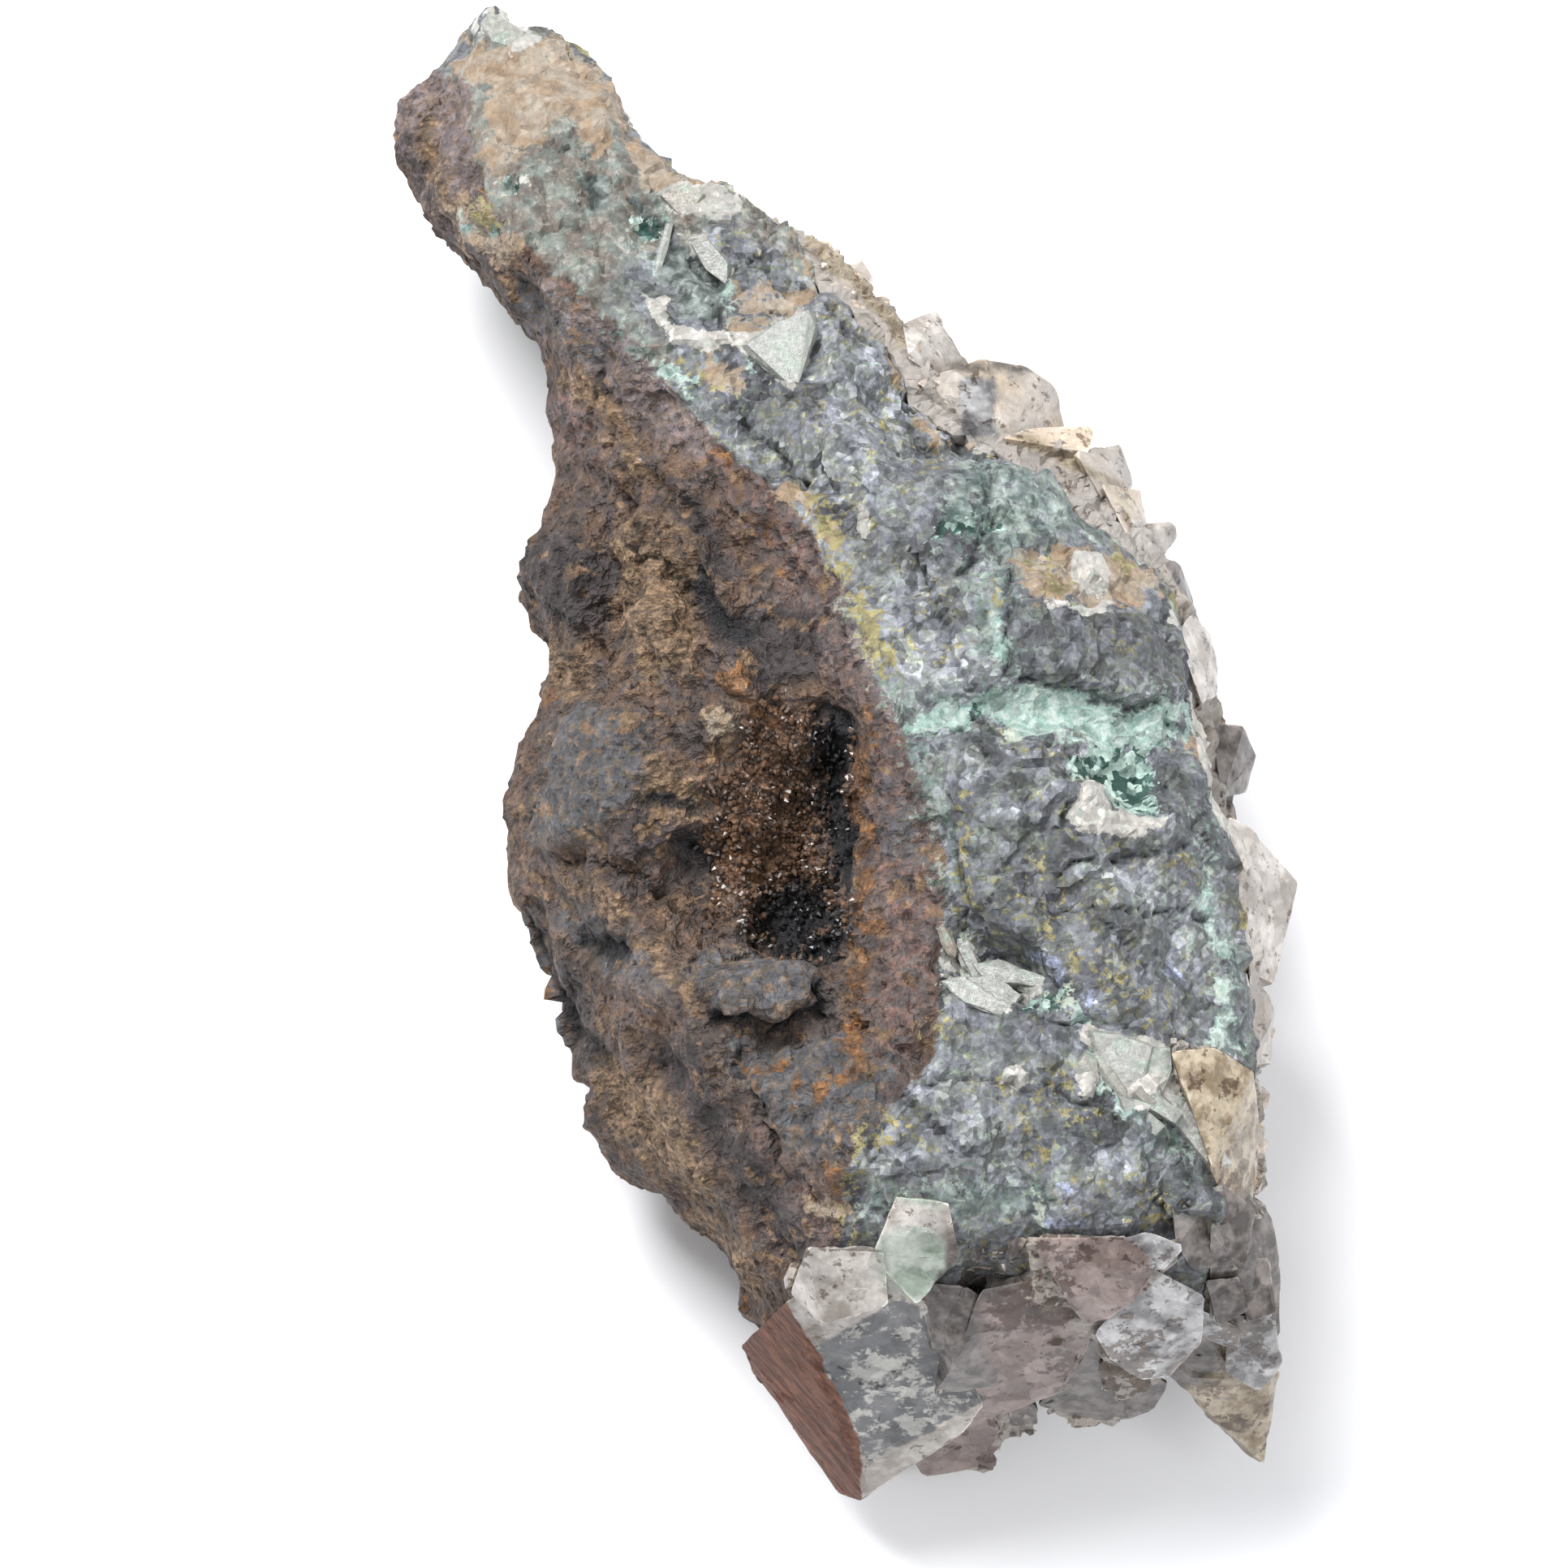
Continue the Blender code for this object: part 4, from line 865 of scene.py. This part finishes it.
BLOCK_TONES = {           # how light a block is, from 0 to 1, where it isn't left to chance
    "pink_plate": 0.6, "rounded_plate": 0.15, "grey_plate": 0.6, "brown_plate": 0.05,
    "small_dark_block": 0.1, "dark_filler": 0.0, "corner_block": 0.3, "corner_top": 0.5,
    "shoulder_block": 0.45, "stained_block": 0.2, "smoky_block": 0.35, "spike_plate": 0.4,
}
CRUST_VOXEL = 0.45
CRUST_SHRINK = 0.35       # how far the crust lies under the crystals' faces
GAP_REACH = 1.1           # what is nearer to the rock than this is drawn onto it
CRYSTAL_FACET = 0.85      # size of a crystal's mesh faces
DICING_PASSES = 5
MERGED = 0.05             # corners closer than this are one
BLOCK_WEAR = 0.35         # how much is knocked off a named block's corners
BLOCK_SWELL = 0.05        # how far a named block's faces stand out, to cover the wear
CRYSTAL_WEAR = 0.1
MOST_WORN = 0.35          # share of an edge that wear can take off one end of it
SPLIT_ANGLE = math.radians(26)
WALL_CRYSTALS = 300
CREVICE_CRYSTALS = 110
CLEAR_OF_BLOCKS = 1.8     # no small crystal stands nearer than this to a named one
FINE_CRYSTALS_ABOVE = 25.0
FINE_CRYSTAL, COARSE_CRYSTAL = 1.1, 3.0      # the widest ones above that height, and below it


def hull_of(corners):
    """The convex hull of the corners."""
    form = bmesh.new()
    for corner in corners:
        form.verts.new(corner)
    bmesh.ops.remove_doubles(form, verts=form.verts, dist=MERGED)
    made = bmesh.ops.convex_hull(form, input=form.verts)
    inner = [v for v in made["geom_interior"] if isinstance(v, bmesh.types.BMVert)]
    bmesh.ops.delete(form, geom=inner, context="VERTS")
    bmesh.ops.recalc_face_normals(form, faces=form.faces)
    return form


def worn_hull(corners, wear, pick):
    """The corners' hull with each corner knocked off by about wear."""
    form = hull_of(corners)
    points = []
    for vertex in form.verts:
        for edge in vertex.link_edges:
            along = edge.other_vert(vertex).co - vertex.co
            share = min(MOST_WORN, wear * pick.uniform(0.3, 1.6) / max(along.length, 0.01))
            points.append(vertex.co + along * share)
    form.free()
    return hull_of(points)


def diced(form):
    """Splits the faces until their edges are about CRYSTAL_FACET long."""
    for _ in range(DICING_PASSES):
        bmesh.ops.triangulate(form, faces=form.faces)
        long_edges = [edge for edge in form.edges if edge.calc_length() > CRYSTAL_FACET]
        bmesh.ops.subdivide_edges(form, edges=long_edges, cuts=1)
    bmesh.ops.triangulate(form, faces=form.faces)
    form.normal_update()


def roughened(form, swell):
    """Moves the faces out by swell and by the unevenness of broken quartz."""
    moves = []
    for vertex in form.verts:
        uneven = 0.15 * chips(vertex.co, 5.4) + 0.07 * chips(vertex.co, 2.3)
        moves.append(vertex.normal * (uneven + swell))
    for vertex, move in zip(form.verts, moves):
        vertex.co += move


def rim_of(vertex):
    """1 where a vertex lies on a sharp edge of its form, 0 in the middle of a face."""
    flattest = min(vertex.normal.dot(face.normal) for face in vertex.link_faces)
    return min(1.0, max(0.0, (0.98 - flattest) / 0.08))


def jitter(pick, reach):
    """A chance move of up to reach along each axis."""
    return Vector([pick.uniform(-reach, reach) for _ in range(3)])


def prism(foot, way, width, length, pick):
    """The corners of a six-sided crystal with an uneven pointed end."""
    way = way.normalized()
    side = way.orthogonal().normalized()
    other = way.cross(side)
    turn = pick.uniform(0, math.tau)
    point = pick.uniform(0.3, 0.6)
    corners = []
    for i in range(6):
        angle = turn + i * math.tau / 6
        out = (side * math.cos(angle) + other * math.sin(angle)) * width * pick.uniform(0.42, 0.56)
        neck = length * (1 - point * pick.uniform(0.7, 1.2))
        corners += [foot + out, foot + out + way * neck]
    return corners + [foot + way * length + side * width * pick.uniform(-0.1, 0.1)]


class Shells:
    """Closed shells gathered into one mesh, each with a tone of its own."""

    def __init__(self):
        self.form = bmesh.new()
        self.tones = []

    def add(self, form, tone):
        made = {vertex: self.form.verts.new(vertex.co) for vertex in form.verts}
        self.tones += [tone] * len(made)
        corners = {frozenset(face.verts): list(face.verts) for face in form.faces}
        for face in corners.values():
            self.form.faces.new([made[vertex] for vertex in face])
        form.free()

    def object(self, name):
        for vertex in self.form.verts:
            vertex.co *= MM
        mesh = bpy.data.meshes.new(name)
        self.form.to_mesh(mesh)
        self.form.free()
        mesh.set_sharp_from_angle(angle=SPLIT_ANGLE)
        return add_object(name, mesh)


def surface_of(thing):
    """A tree of an object's faces in millimetres, for rays."""
    points = [Vector(p) for p in read(thing.data, "co") / MM]
    return BVHTree.FromPolygons(points, [tuple(p.vertices) for p in thing.data.polygons])


def set_quartz_zones(thing, tone, rim, styles=()):
    """Masks of the quartz's colours; styles are (first, end, colour) of vertices of one colour."""
    masks = {"tone": tone, "rim": rim}
    points, out = read(thing.data, "co") / MM, read(thing.data, "normal")
    seen = seen_by_camera(out, past=0.3, width=0.3)
    places = project(points) + wander(points, 2.2, QUARTZ_WANDER)
    for name, zone in QUARTZ_ZONES.items():
        masks[name] = zone_mask(places, zone) * seen
        for first, end, style in styles:
            if style == name:
                masks[name][first:end] = 1.0
            elif name in ("pale", "straw", "mottle"):
                masks[name][first:end] = 0.0
    set_masks(thing.data, masks)


def quartz_crust(rock_surface):
    """The layer that the crystals stand on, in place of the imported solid, grown onto the rock."""
    thing = remeshed("quartz_crust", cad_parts["quartz_crystals"].data, CRUST_VOXEL)
    points, out = read(thing.data, "co") / MM, read(thing.data, "normal")
    for i, point in enumerate(points):
        place = Vector(point)
        near, _, _, distance = rock_surface.find_nearest(place)
        rise = 0.5 * chips(place, 2.2) + 0.3 * noise.fractal(place / 1.2, 0.8, 2.1, 3) - CRUST_SHRINK
        moved = place + Vector(out[i]) * rise
        if distance < GAP_REACH:
            moved = place.lerp(near, min(1.0, 1.6 - distance / GAP_REACH))
        points[i] = moved
    place_vertices(thing.data, points)
    set_quartz_zones(thing, 0.0, 0.0)
    return thing


def add_blocks(shells, pick):
    """Adds the named blocks and plates: how sharp each vertex is, and which have one colour."""
    rims, styles = [], []
    for name, corners in BLOCKS.items():
        form = worn_hull([Vector(corner) - Vector(ORIGIN) for corner in corners], BLOCK_WEAR, pick)
        tone = BLOCK_TONES.get(name, pick.uniform(0.0, 1.0))
        first = len(shells.form.verts)
        diced(form)
        rims += [rim_of(vertex) for vertex in form.verts]
        roughened(form, BLOCK_SWELL)
        shells.add(form, tone)
        styles += [(first, len(shells.form.verts), style)
                   for style, names in BLOCK_STYLES.items() if name in names.split()]
    return rims, styles


def add_crevice_crystals(shells, pick):
    """Adds small crystals in the crevice behind the end blocks."""
    base = hull_of([Vector(corner) - Vector(ORIGIN) for corner in CREVICE_BASE])
    open_faces = [face for face in base.faces if face.normal.y < 0.2]
    areas = [face.calc_area() for face in open_faces]
    for face in pick.choices(open_faces, weights=areas, k=CREVICE_CRYSTALS):
        shares = [pick.random() ** 2 for _ in face.verts]
        foot = sum((v.co * share for v, share in zip(face.verts, shares)), Vector()) / sum(shares)
        way = face.normal + jitter(pick, 0.5)
        width = pick.uniform(0.8, 2.2)
        corners = prism(foot - way * width, way, width, width * 1.7, pick)
        shells.add(worn_hull(corners, CRYSTAL_WEAR, pick), pick.uniform(0.0, 0.5))
    base.free()


def add_wall_crystals(shells, crust, pick):
    """Adds small crystals on the crust, wherever there is room between the blocks."""
    named = BVHTree.FromBMesh(shells.form)
    faces = crust.data.polygons
    placed = 0
    while placed < WALL_CRYSTALS:
        face = faces[pick.randrange(len(faces))]
        foot, way = face.center / MM, face.normal.copy()
        if named.find_nearest(foot)[3] < CLEAR_OF_BLOCKS or way.z < -0.4 or way.x < 0.2:
            continue
        largest = FINE_CRYSTAL if foot.z > FINE_CRYSTALS_ABOVE else COARSE_CRYSTAL
        width = pick.uniform(0.4, 1.0) * largest
        way += jitter(pick, 0.5)
        length = width * pick.uniform(0.6, 1.1)
        tip = foot + way.normalized() * length
        if all(low / MM <= place <= high / MM for low, place, high in zip(cad_box[0], tip, cad_box[1])):
            corners = prism(foot - way * width * 0.5, way, width, length, pick)
            shells.add(worn_hull(corners, CRYSTAL_WEAR, pick), pick.uniform(0.0, 1.0))
            placed += 1


def quartz_crystals(crust):
    """The named blocks and plates, and the small crystals between them."""
    pick = random.Random(7)
    shells = Shells()
    rims, styles = add_blocks(shells, pick)
    add_crevice_crystals(shells, pick)
    add_wall_crystals(shells, crust, pick)
    thing = shells.object("quartz_points")
    rims += [0.0] * (len(shells.tones) - len(rims))
    set_quartz_zones(thing, shells.tones, rims, styles)
    return thing


def quartz_material(name, gloss):
    """Milky to smoky quartz, stained brown and tan; gloss is 0 on the crust and 1 on crystals."""
    s = Shader(name, [*QUARTZ_ZONES, "tone", "rim"])
    fine = s.noise(0.5, 2)
    middle = s.noise(1.8, 3, 0.65, offset=(5, 0, 0))
    coarse = s.noise(5.0, 2, 0.55, offset=(0, 9, 0))
    stirred = s.stirred(2.5, 2.0)
    veils = s.noise(3.4, 3, place=stirred, offset=(1, 3, 7))
    shard = s.cells(2.6, stirred)
    grain = s.cells(0.9, s.place)
    grain_tone = s.chance(grain)
    tone = s.attribute("tone")
    light = s.spread(veils, 0.4, 0.6)

    colour = s.blend(coarse, 0.38, 0.62, (0.57, 0.475, 0.375), (0.57, 0.515, 0.46))
    colour = s.mix(s.spread(tone, 0.6, 1.0, 0.0, 0.6), colour, (0.52, 0.39, 0.26))
    colour = s.mix(s.spread(tone, 0.0, 0.3, 0.6, 0.0), colour, (0.42, 0.39, 0.37))
    straw = s.blend(middle, 0.4, 0.58, (0.25, 0.185, 0.115), (0.47, 0.395, 0.29))
    colour = s.mix(s.edged("straw", middle, 0.8, 0.15), colour, straw)
    veined = [        # the zone, its colour in the veils, its colour between them
        ("pale", (0.34, 0.3, 0.265), (0.58, 0.54, 0.5)),
        ("pink", (0.2, 0.145, 0.128), (0.33, 0.255, 0.235)),
        ("frost", (0.2, 0.195, 0.2), (0.55, 0.545, 0.55)),
    ]
    for zone_name, dim, bright in veined:
        colour = s.mix(s.edged(zone_name, middle, 0.6, 0.15), colour, s.mix(light, dim, bright))
    stain = s.total(0.0, (s.noise(1.5, 3, 0.75, offset=(3, 2, 8)), 1.0), (s.attribute("stain"), 0.16))
    stain = s.spread(stain, 0.57, 0.64, 0.0, 0.8)
    colour = s.mix(stain, colour, s.vector("MULTIPLY", colour, (0.22, 0.155, 0.11)))
    green = s.math("MULTIPLY", s.edged("green", middle, 0.8, 0.3), 0.75)
    colour = s.mix(green, colour, s.mix(light, (0.24, 0.32, 0.255), (0.43, 0.5, 0.43)))
    spots = s.noise(3.0, 4, 0.78, offset=(7, 7, 1))
    spots = s.spread(s.math("MULTIPLY_ADD", grain_tone, 0.1, spots), 0.54, 0.61)
    mottled = s.mix(spots, s.mix(light, (0.075, 0.078, 0.085), (0.17, 0.17, 0.178)), (0.45, 0.44, 0.41))
    colour = s.mix(s.edged("mottle", middle, 0.8, 0.15), colour, mottled)
    smoke = s.blend(middle, 0.38, 0.64, (0.07, 0.058, 0.052), (0.23, 0.2, 0.185))
    colour = s.mix(s.edged("smoke", middle, 1.0), colour, smoke)
    along = s.math("MULTIPLY", s.vector("DOT_PRODUCT", s.place, STREAK_WAY), -0.85)
    drawn = s.vector("ADD", s.place, s.vector("SCALE", STREAK_WAY, scale=along))
    streaks = s.noise(0.6, 3, 0.7, place=drawn)
    brown = s.blend(streaks, 0.38, 0.62, (0.12, 0.038, 0.02), (0.26, 0.105, 0.058))
    brown_mask = s.edged("brown", middle, 0.8, 0.15)
    colour = s.mix(brown_mask, colour, brown)
    shade = s.total(-1.25, (tone, 0.6), (fine, 0.9), (s.chance(shard, (0, 1, 0)), 0.5 * gloss),
                    (grain_tone, 0.3))
    colour = s.shade(colour, s.two_to(shade))
    # Painted highlight: the sharp edges of the blocks are drawn up to twice as light.
    rim = s.math("MULTIPLY_ADD", middle, 0.8, s.attribute("rim"))
    colour = s.mix(s.spread(rim, 1.0, 1.4, 0.0, 0.6), colour, s.shade(colour, 2.0))

    rough = s.spread(veils, 0.35, 0.65, 0.6 - 0.38 * gloss, 0.8 - 0.4 * gloss)
    rough = s.lerp(brown_mask, rough, 0.75)
    height = s.total(0.0, (s.facets(shard, stirred), 0.1 + 0.12 * gloss),
                     (s.facets(grain, s.place), 0.25 - 0.21 * gloss),
                     (s.math("MULTIPLY", s.attribute("brown"), streaks), 0.8))
    return s.paint(Base_Color=colour, Roughness=rough, Normal=s.bump(height, 0.9), IOR=QUARTZ_INDEX,
                   Transmission_Weight=0.18 * gloss)


# ---------------------------------------------------------------- druse in the vug
DRUSE_POINTS = 4200
DRUSE_FADE = 26           # points of the picture over which the crystals thin out at the edge
VUG = listed("""
    850,1040 870,960 900,900 940,866 1000,862 1046,890 1052,960 1046,1100 1040,1160 1000,1190 940,1184
    890,1150 860,1100
""")


def vug_druse(rock, black, sparkle):
    """Small crystals over the vug's walls: black on the right, rust in the middle, and pale ones below as
    painted glints.
    """
    pick = random.Random(11)
    points, out = read(rock.data, "co") / MM, read(rock.data, "normal")
    depth = outline_depth(project(points) + wander(points, 3.0, 34.0), VUG)
    feet = np.flatnonzero((depth > 0) & (out[:, 2] > -0.4))
    shells = Shells()
    for index in pick.choices(list(feet), k=DRUSE_POINTS):
        if depth[index] < pick.uniform(0, DRUSE_FADE):
            continue
        foot = Vector(points[index]) + jitter(pick, 0.25)
        way = Vector(out[index]) + jitter(pick, 0.7)
        width = pick.uniform(0.2, 0.55)
        tone = pick.uniform(0.15, 0.6)
        # Black crystals where the rock's black zone is, which is partly painted shadow.
        if black[index] > pick.uniform(0.1, 0.7):
            tone = pick.uniform(0.0, 0.14)
        # Pale crystals: painted glints where the vug's floor sparkles, and a few at random.
        elif sparkle[index] > pick.uniform(0.2, 1.3) or pick.random() < 0.005:
            tone = pick.uniform(0.68, 1.0)
            width *= 0.6
        shells.add(hull_of(prism(foot - way * 0.15, way, width, width * 1.5, pick)), tone)
    thing = shells.object("vug_crystals")
    set_masks(thing.data, {"tone": shells.tones})
    return thing


def druse_material():
    """The druse's colours, in the order of tone: black, rusty, and pale for the painted glints."""
    s = Shader("druse")
    colour = s.ramp(s.attribute("tone"), [
        (0.0, (0.012, 0.012, 0.015)), (0.14, (0.025, 0.022, 0.022)), (0.2, (0.075, 0.048, 0.037)),
        (0.6, (0.155, 0.088, 0.052)), (0.7, (0.3, 0.25, 0.22)), (1.0, (0.5, 0.48, 0.46))])
    colour = s.shade(colour, s.spread(s.noise(0.5, 4, 0.7), 0.3, 0.7, 0.6, 1.5))
    return s.paint(Base_Color=colour, Roughness=0.24, IOR=QUARTZ_INDEX)


# ---------------------------------------------------------------- quartz in the pockets of the ore
NEEDLE_WIDTH = 0.8
# Blades between two places of the picture, as "width thickness tone: start end".
BLADES = entries("""
    0.8 0.7 0.5: 1160,1144 1172,1190 / 0.7 0.6 0.2: 1184,1160 1194,1204 / 0.8 0.5 0.3: 1240,1208 1290,1220 /
    1 0.6 0.35: 1346,1300 1384,1360 / 1 0.6 0.35: 1404,1344 1446,1392 / 0.6 0.5 0.1: 824,268 812,340
""")
# Flat pieces, each over an outline on the picture, as "rise tone: outline".
PLATES = entries("""
    0.1 0.2: 912,426 956,402 1005,384 1010,405 997,439 982,482 958,470 935,446 /
    0.3 0.1: 850,300 874,294 902,327 895,350 870,336 /
    0.15 0.4: 812,242 844,226 870,240 850,264 834,264 /
    0.3 0.05: 1338,1268 1380,1270 1424,1290 1410,1330 1380,1340 1352,1306 /
    0.2 0: 1370,1290 1440,1290 1446,1318 1430,1350 1392,1340 /
    0.25 0.2: 1384,1322 1410,1330 1460,1376 1452,1392 1400,1356 /
    0.3 0: 1436,1346 1464,1352 1492,1402 1514,1442 1498,1446 1466,1412 1440,1380 /
    0.15 0.25: 1372,1346 1402,1354 1436,1390 1424,1402 1388,1378 /
    0.25 0.3: 1321,1317 1336,1296 1350,1303 1356,1350 1342,1362 /
    0.2 0.25: 1178,1166 1190,1158 1212,1204 1202,1212 /
    0.15 0.2: 1196,1190 1230,1184 1292,1204 1286,1216 1210,1210 /
    0.25 0.1: 1158,1208 1186,1206 1252,1242 1236,1252 1186,1236 /
    0.15 0.2: 1186,1206 1230,1206 1264,1228 1250,1238 1204,1226 /
    0.15 0.3: 594,38 604,22 630,22 652,40 636,58 606,56 /
    0.8 0.1: 1104,1484 1130,1476 1160,1492 1154,1520 1118,1516
""")


def plate(rock_surface, outline, rise, pick):
    """A flat piece over an outline of the picture, rising from the rock."""
    hits = [rock_surface.ray_cast(*sight_ray(*place))[:2] for place in outline]
    hits = [(place, out) for place, out in hits if place is not None]
    middle = sum((place for place, _ in hits), Vector()) / len(hits)
    up = (sum((out for _, out in hits), Vector()).normalized() + Vector(SIGHT)).normalized()
    level = max((place - middle).dot(up) for place, _ in hits) * 0.5 + rise
    corners = []
    for place, _ in hits:
        inward = (middle - place) * pick.uniform(0.08, 0.2)
        top = place + inward
        top += up * (level - (top - middle).dot(up)) * pick.uniform(0.7, 1.0)
        corners += [place - up * 0.2, top, place + inward - up * 2.0]
    form = worn_hull(corners, CRYSTAL_WEAR, pick)
    diced(form)
    roughened(form, 0.0)
    return form


def blade(rock_surface, start, end, shift, width, thickness, pick):
    """One flat-faced blade from start to end of the picture, moved sideways by shift mm."""
    hits = [rock_surface.ray_cast(*sight_ray(*place))[:2] for place in (start, end)]
    (foot, foot_out), (tip, tip_out) = hits
    up = (foot_out + tip_out + Vector(SIGHT)).normalized()
    along = tip - foot
    side = along.cross(up).normalized()
    foot = foot + side * (shift + pick.uniform(-0.2, 0.2)) + along * pick.uniform(-0.08, 0.14)
    along = along * pick.uniform(0.75, 1.0) + side * pick.uniform(-0.2, 0.2) * along.length
    rise = thickness * pick.uniform(0.0, 0.3)
    corners = []
    for share, narrow in ((0.0, 0.7), (0.5, 1.0), (0.86, 0.8), (1.0, 0.15)):
        middle = foot + along * share + up * rise * (0.6 + 0.4 * share)
        half = width * narrow / 2
        corners += [middle + side * half * 0.5 + up * half * 0.6,
                    middle - side * half * 0.3 + up * half * 0.7,
                    middle + side * half, middle - side * half, middle - up * (thickness + rise)]
    return hull_of(corners)


def pocket_quartz(rock_surface):
    """Flat pieces and blades of quartz that lie in the pockets and seams of the ore."""
    pick = random.Random(5)
    shells = Shells()
    for label, outline in PLATES:
        rise, tone = map(float, label.split())
        shells.add(plate(rock_surface, outline, rise, pick), tone)
    for label, (start, end) in BLADES:
        width, thickness, tone = map(float, label.split())
        needles = max(1, round(width / NEEDLE_WIDTH))
        for needle in range(needles):
            shift = (needle + 0.5) / needles - 0.5
            form = blade(rock_surface, start, end, shift * width, width / needles * 1.5, thickness, pick)
            shells.add(form, tone + pick.uniform(-0.08, 0.08))
    thing = shells.object("pocket_quartz")
    set_masks(thing.data, {"tone": shells.tones})
    return thing


def pocket_material():
    """White to tan quartz, with a green tint in patches."""
    s = Shader("pocket_quartz")
    fine = s.noise(0.5, 3, 0.7)
    colour = s.ramp(s.attribute("tone"), [
        (0.0, (0.41, 0.405, 0.385)), (0.25, (0.315, 0.325, 0.3)), (0.5, (0.37, 0.32, 0.265))])
    colour = s.mix(s.spread(s.noise(1.6, 3), 0.5, 0.62, 0.0, 0.6), colour, (0.3, 0.37, 0.31))
    colour = s.shade(colour, s.two_to(s.math("MULTIPLY_ADD", fine, 2.4, -1.2)))
    return s.paint(Base_Color=colour, Roughness=0.3, Normal=s.bump(s.math("MULTIPLY", fine, 0.3), 0.6),
                   IOR=QUARTZ_INDEX, Transmission_Weight=0.15)


# ---------------------------------------------------------------- stage
FLOOR_REACH = 3.0         # in metres, as are the other lengths of the stage
FLOOR_DEPTH = 0.0002
LAMPS = [                 # name, place, size, power
    ("key", (-0.35, 0.45, 1.0), 0.5, 17.0),
    ("fill", (0.6, -0.5, 0.9), 0.6, 5.0),
]
SENSOR_WIDTH = 36.0


def stage():
    """The floor, the lamps and the photo's camera."""
    mesh = bpy.data.meshes.new("floor")
    corners = [(-1, -1), (1, -1), (1, 1), (-1, 1)]
    mesh.from_pydata([(x * FLOOR_REACH, y * FLOOR_REACH, 0) for x, y in corners], [], [(0, 1, 2, 3)])
    floor = add_object("floor", mesh)
    floor.location.z = -FLOOR_DEPTH
    mesh.materials.append(Shader("pale_floor").paint(Base_Color=(0.93, 0.93, 0.95), Roughness=0.9))

    world = bpy.data.worlds.new("studio")
    world.use_nodes = True
    background = world.node_tree.nodes["Background"]
    background.inputs["Color"].default_value = (0.96, 0.98, 1.0, 1.0)
    background.inputs["Strength"].default_value = 0.62
    bpy.context.scene.world = world

    for name, place, size, power in LAMPS:
        light = bpy.data.lights.new(name, "AREA")
        light.size = size
        light.energy = power
        lamp = add_object(name, light)
        lamp.location = place
        lamp.rotation_euler = (-Vector(place)).to_track_quat("-Z", "Y").to_euler()

    camera = bpy.data.cameras.new("camera")
    camera.sensor_width = SENSOR_WIDTH
    camera.lens = SENSOR_WIDTH * DISTANCE / PICTURE_WIDTH
    camera.clip_start = 0.01
    eye = add_object("camera", camera)
    eye.location = Vector(TARGET) * MM + Vector(SIGHT) * DISTANCE * MM
    eye.rotation_euler = (-Vector(SIGHT)).to_track_quat("-Z", "Y").to_euler()
    bpy.context.scene.camera = eye
    bpy.context.scene.view_settings.view_transform = "Standard"


def dress(thing, material, slot, *nodes):
    """Gives a piece its material, what it rides on and the nodes that it replaces; slot is not used."""
    thing.data.materials.clear()
    thing.data.materials.append(material)
    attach(thing, "root")
    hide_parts(*nodes)


stage()
rock_piece, zones = rock()
rock_surface = surface_of(rock_piece)
crust = quartz_crust(rock_surface)
dress(rock_piece, rock_material(), "ore_rock", "ore_block")
dress(pocket_quartz(rock_surface), pocket_material(), "ore_rock", "ore_block")
dress(crust, quartz_material("quartz_crust", 0.0), "quartz", "quartz_crystals")
dress(quartz_crystals(crust), quartz_material("quartz_points", 1.0), "quartz", "quartz_crystals")
dress(vug_druse(rock_piece, zones["black"], zones["sparkle"]), druse_material(), "druse", "vug_druse")
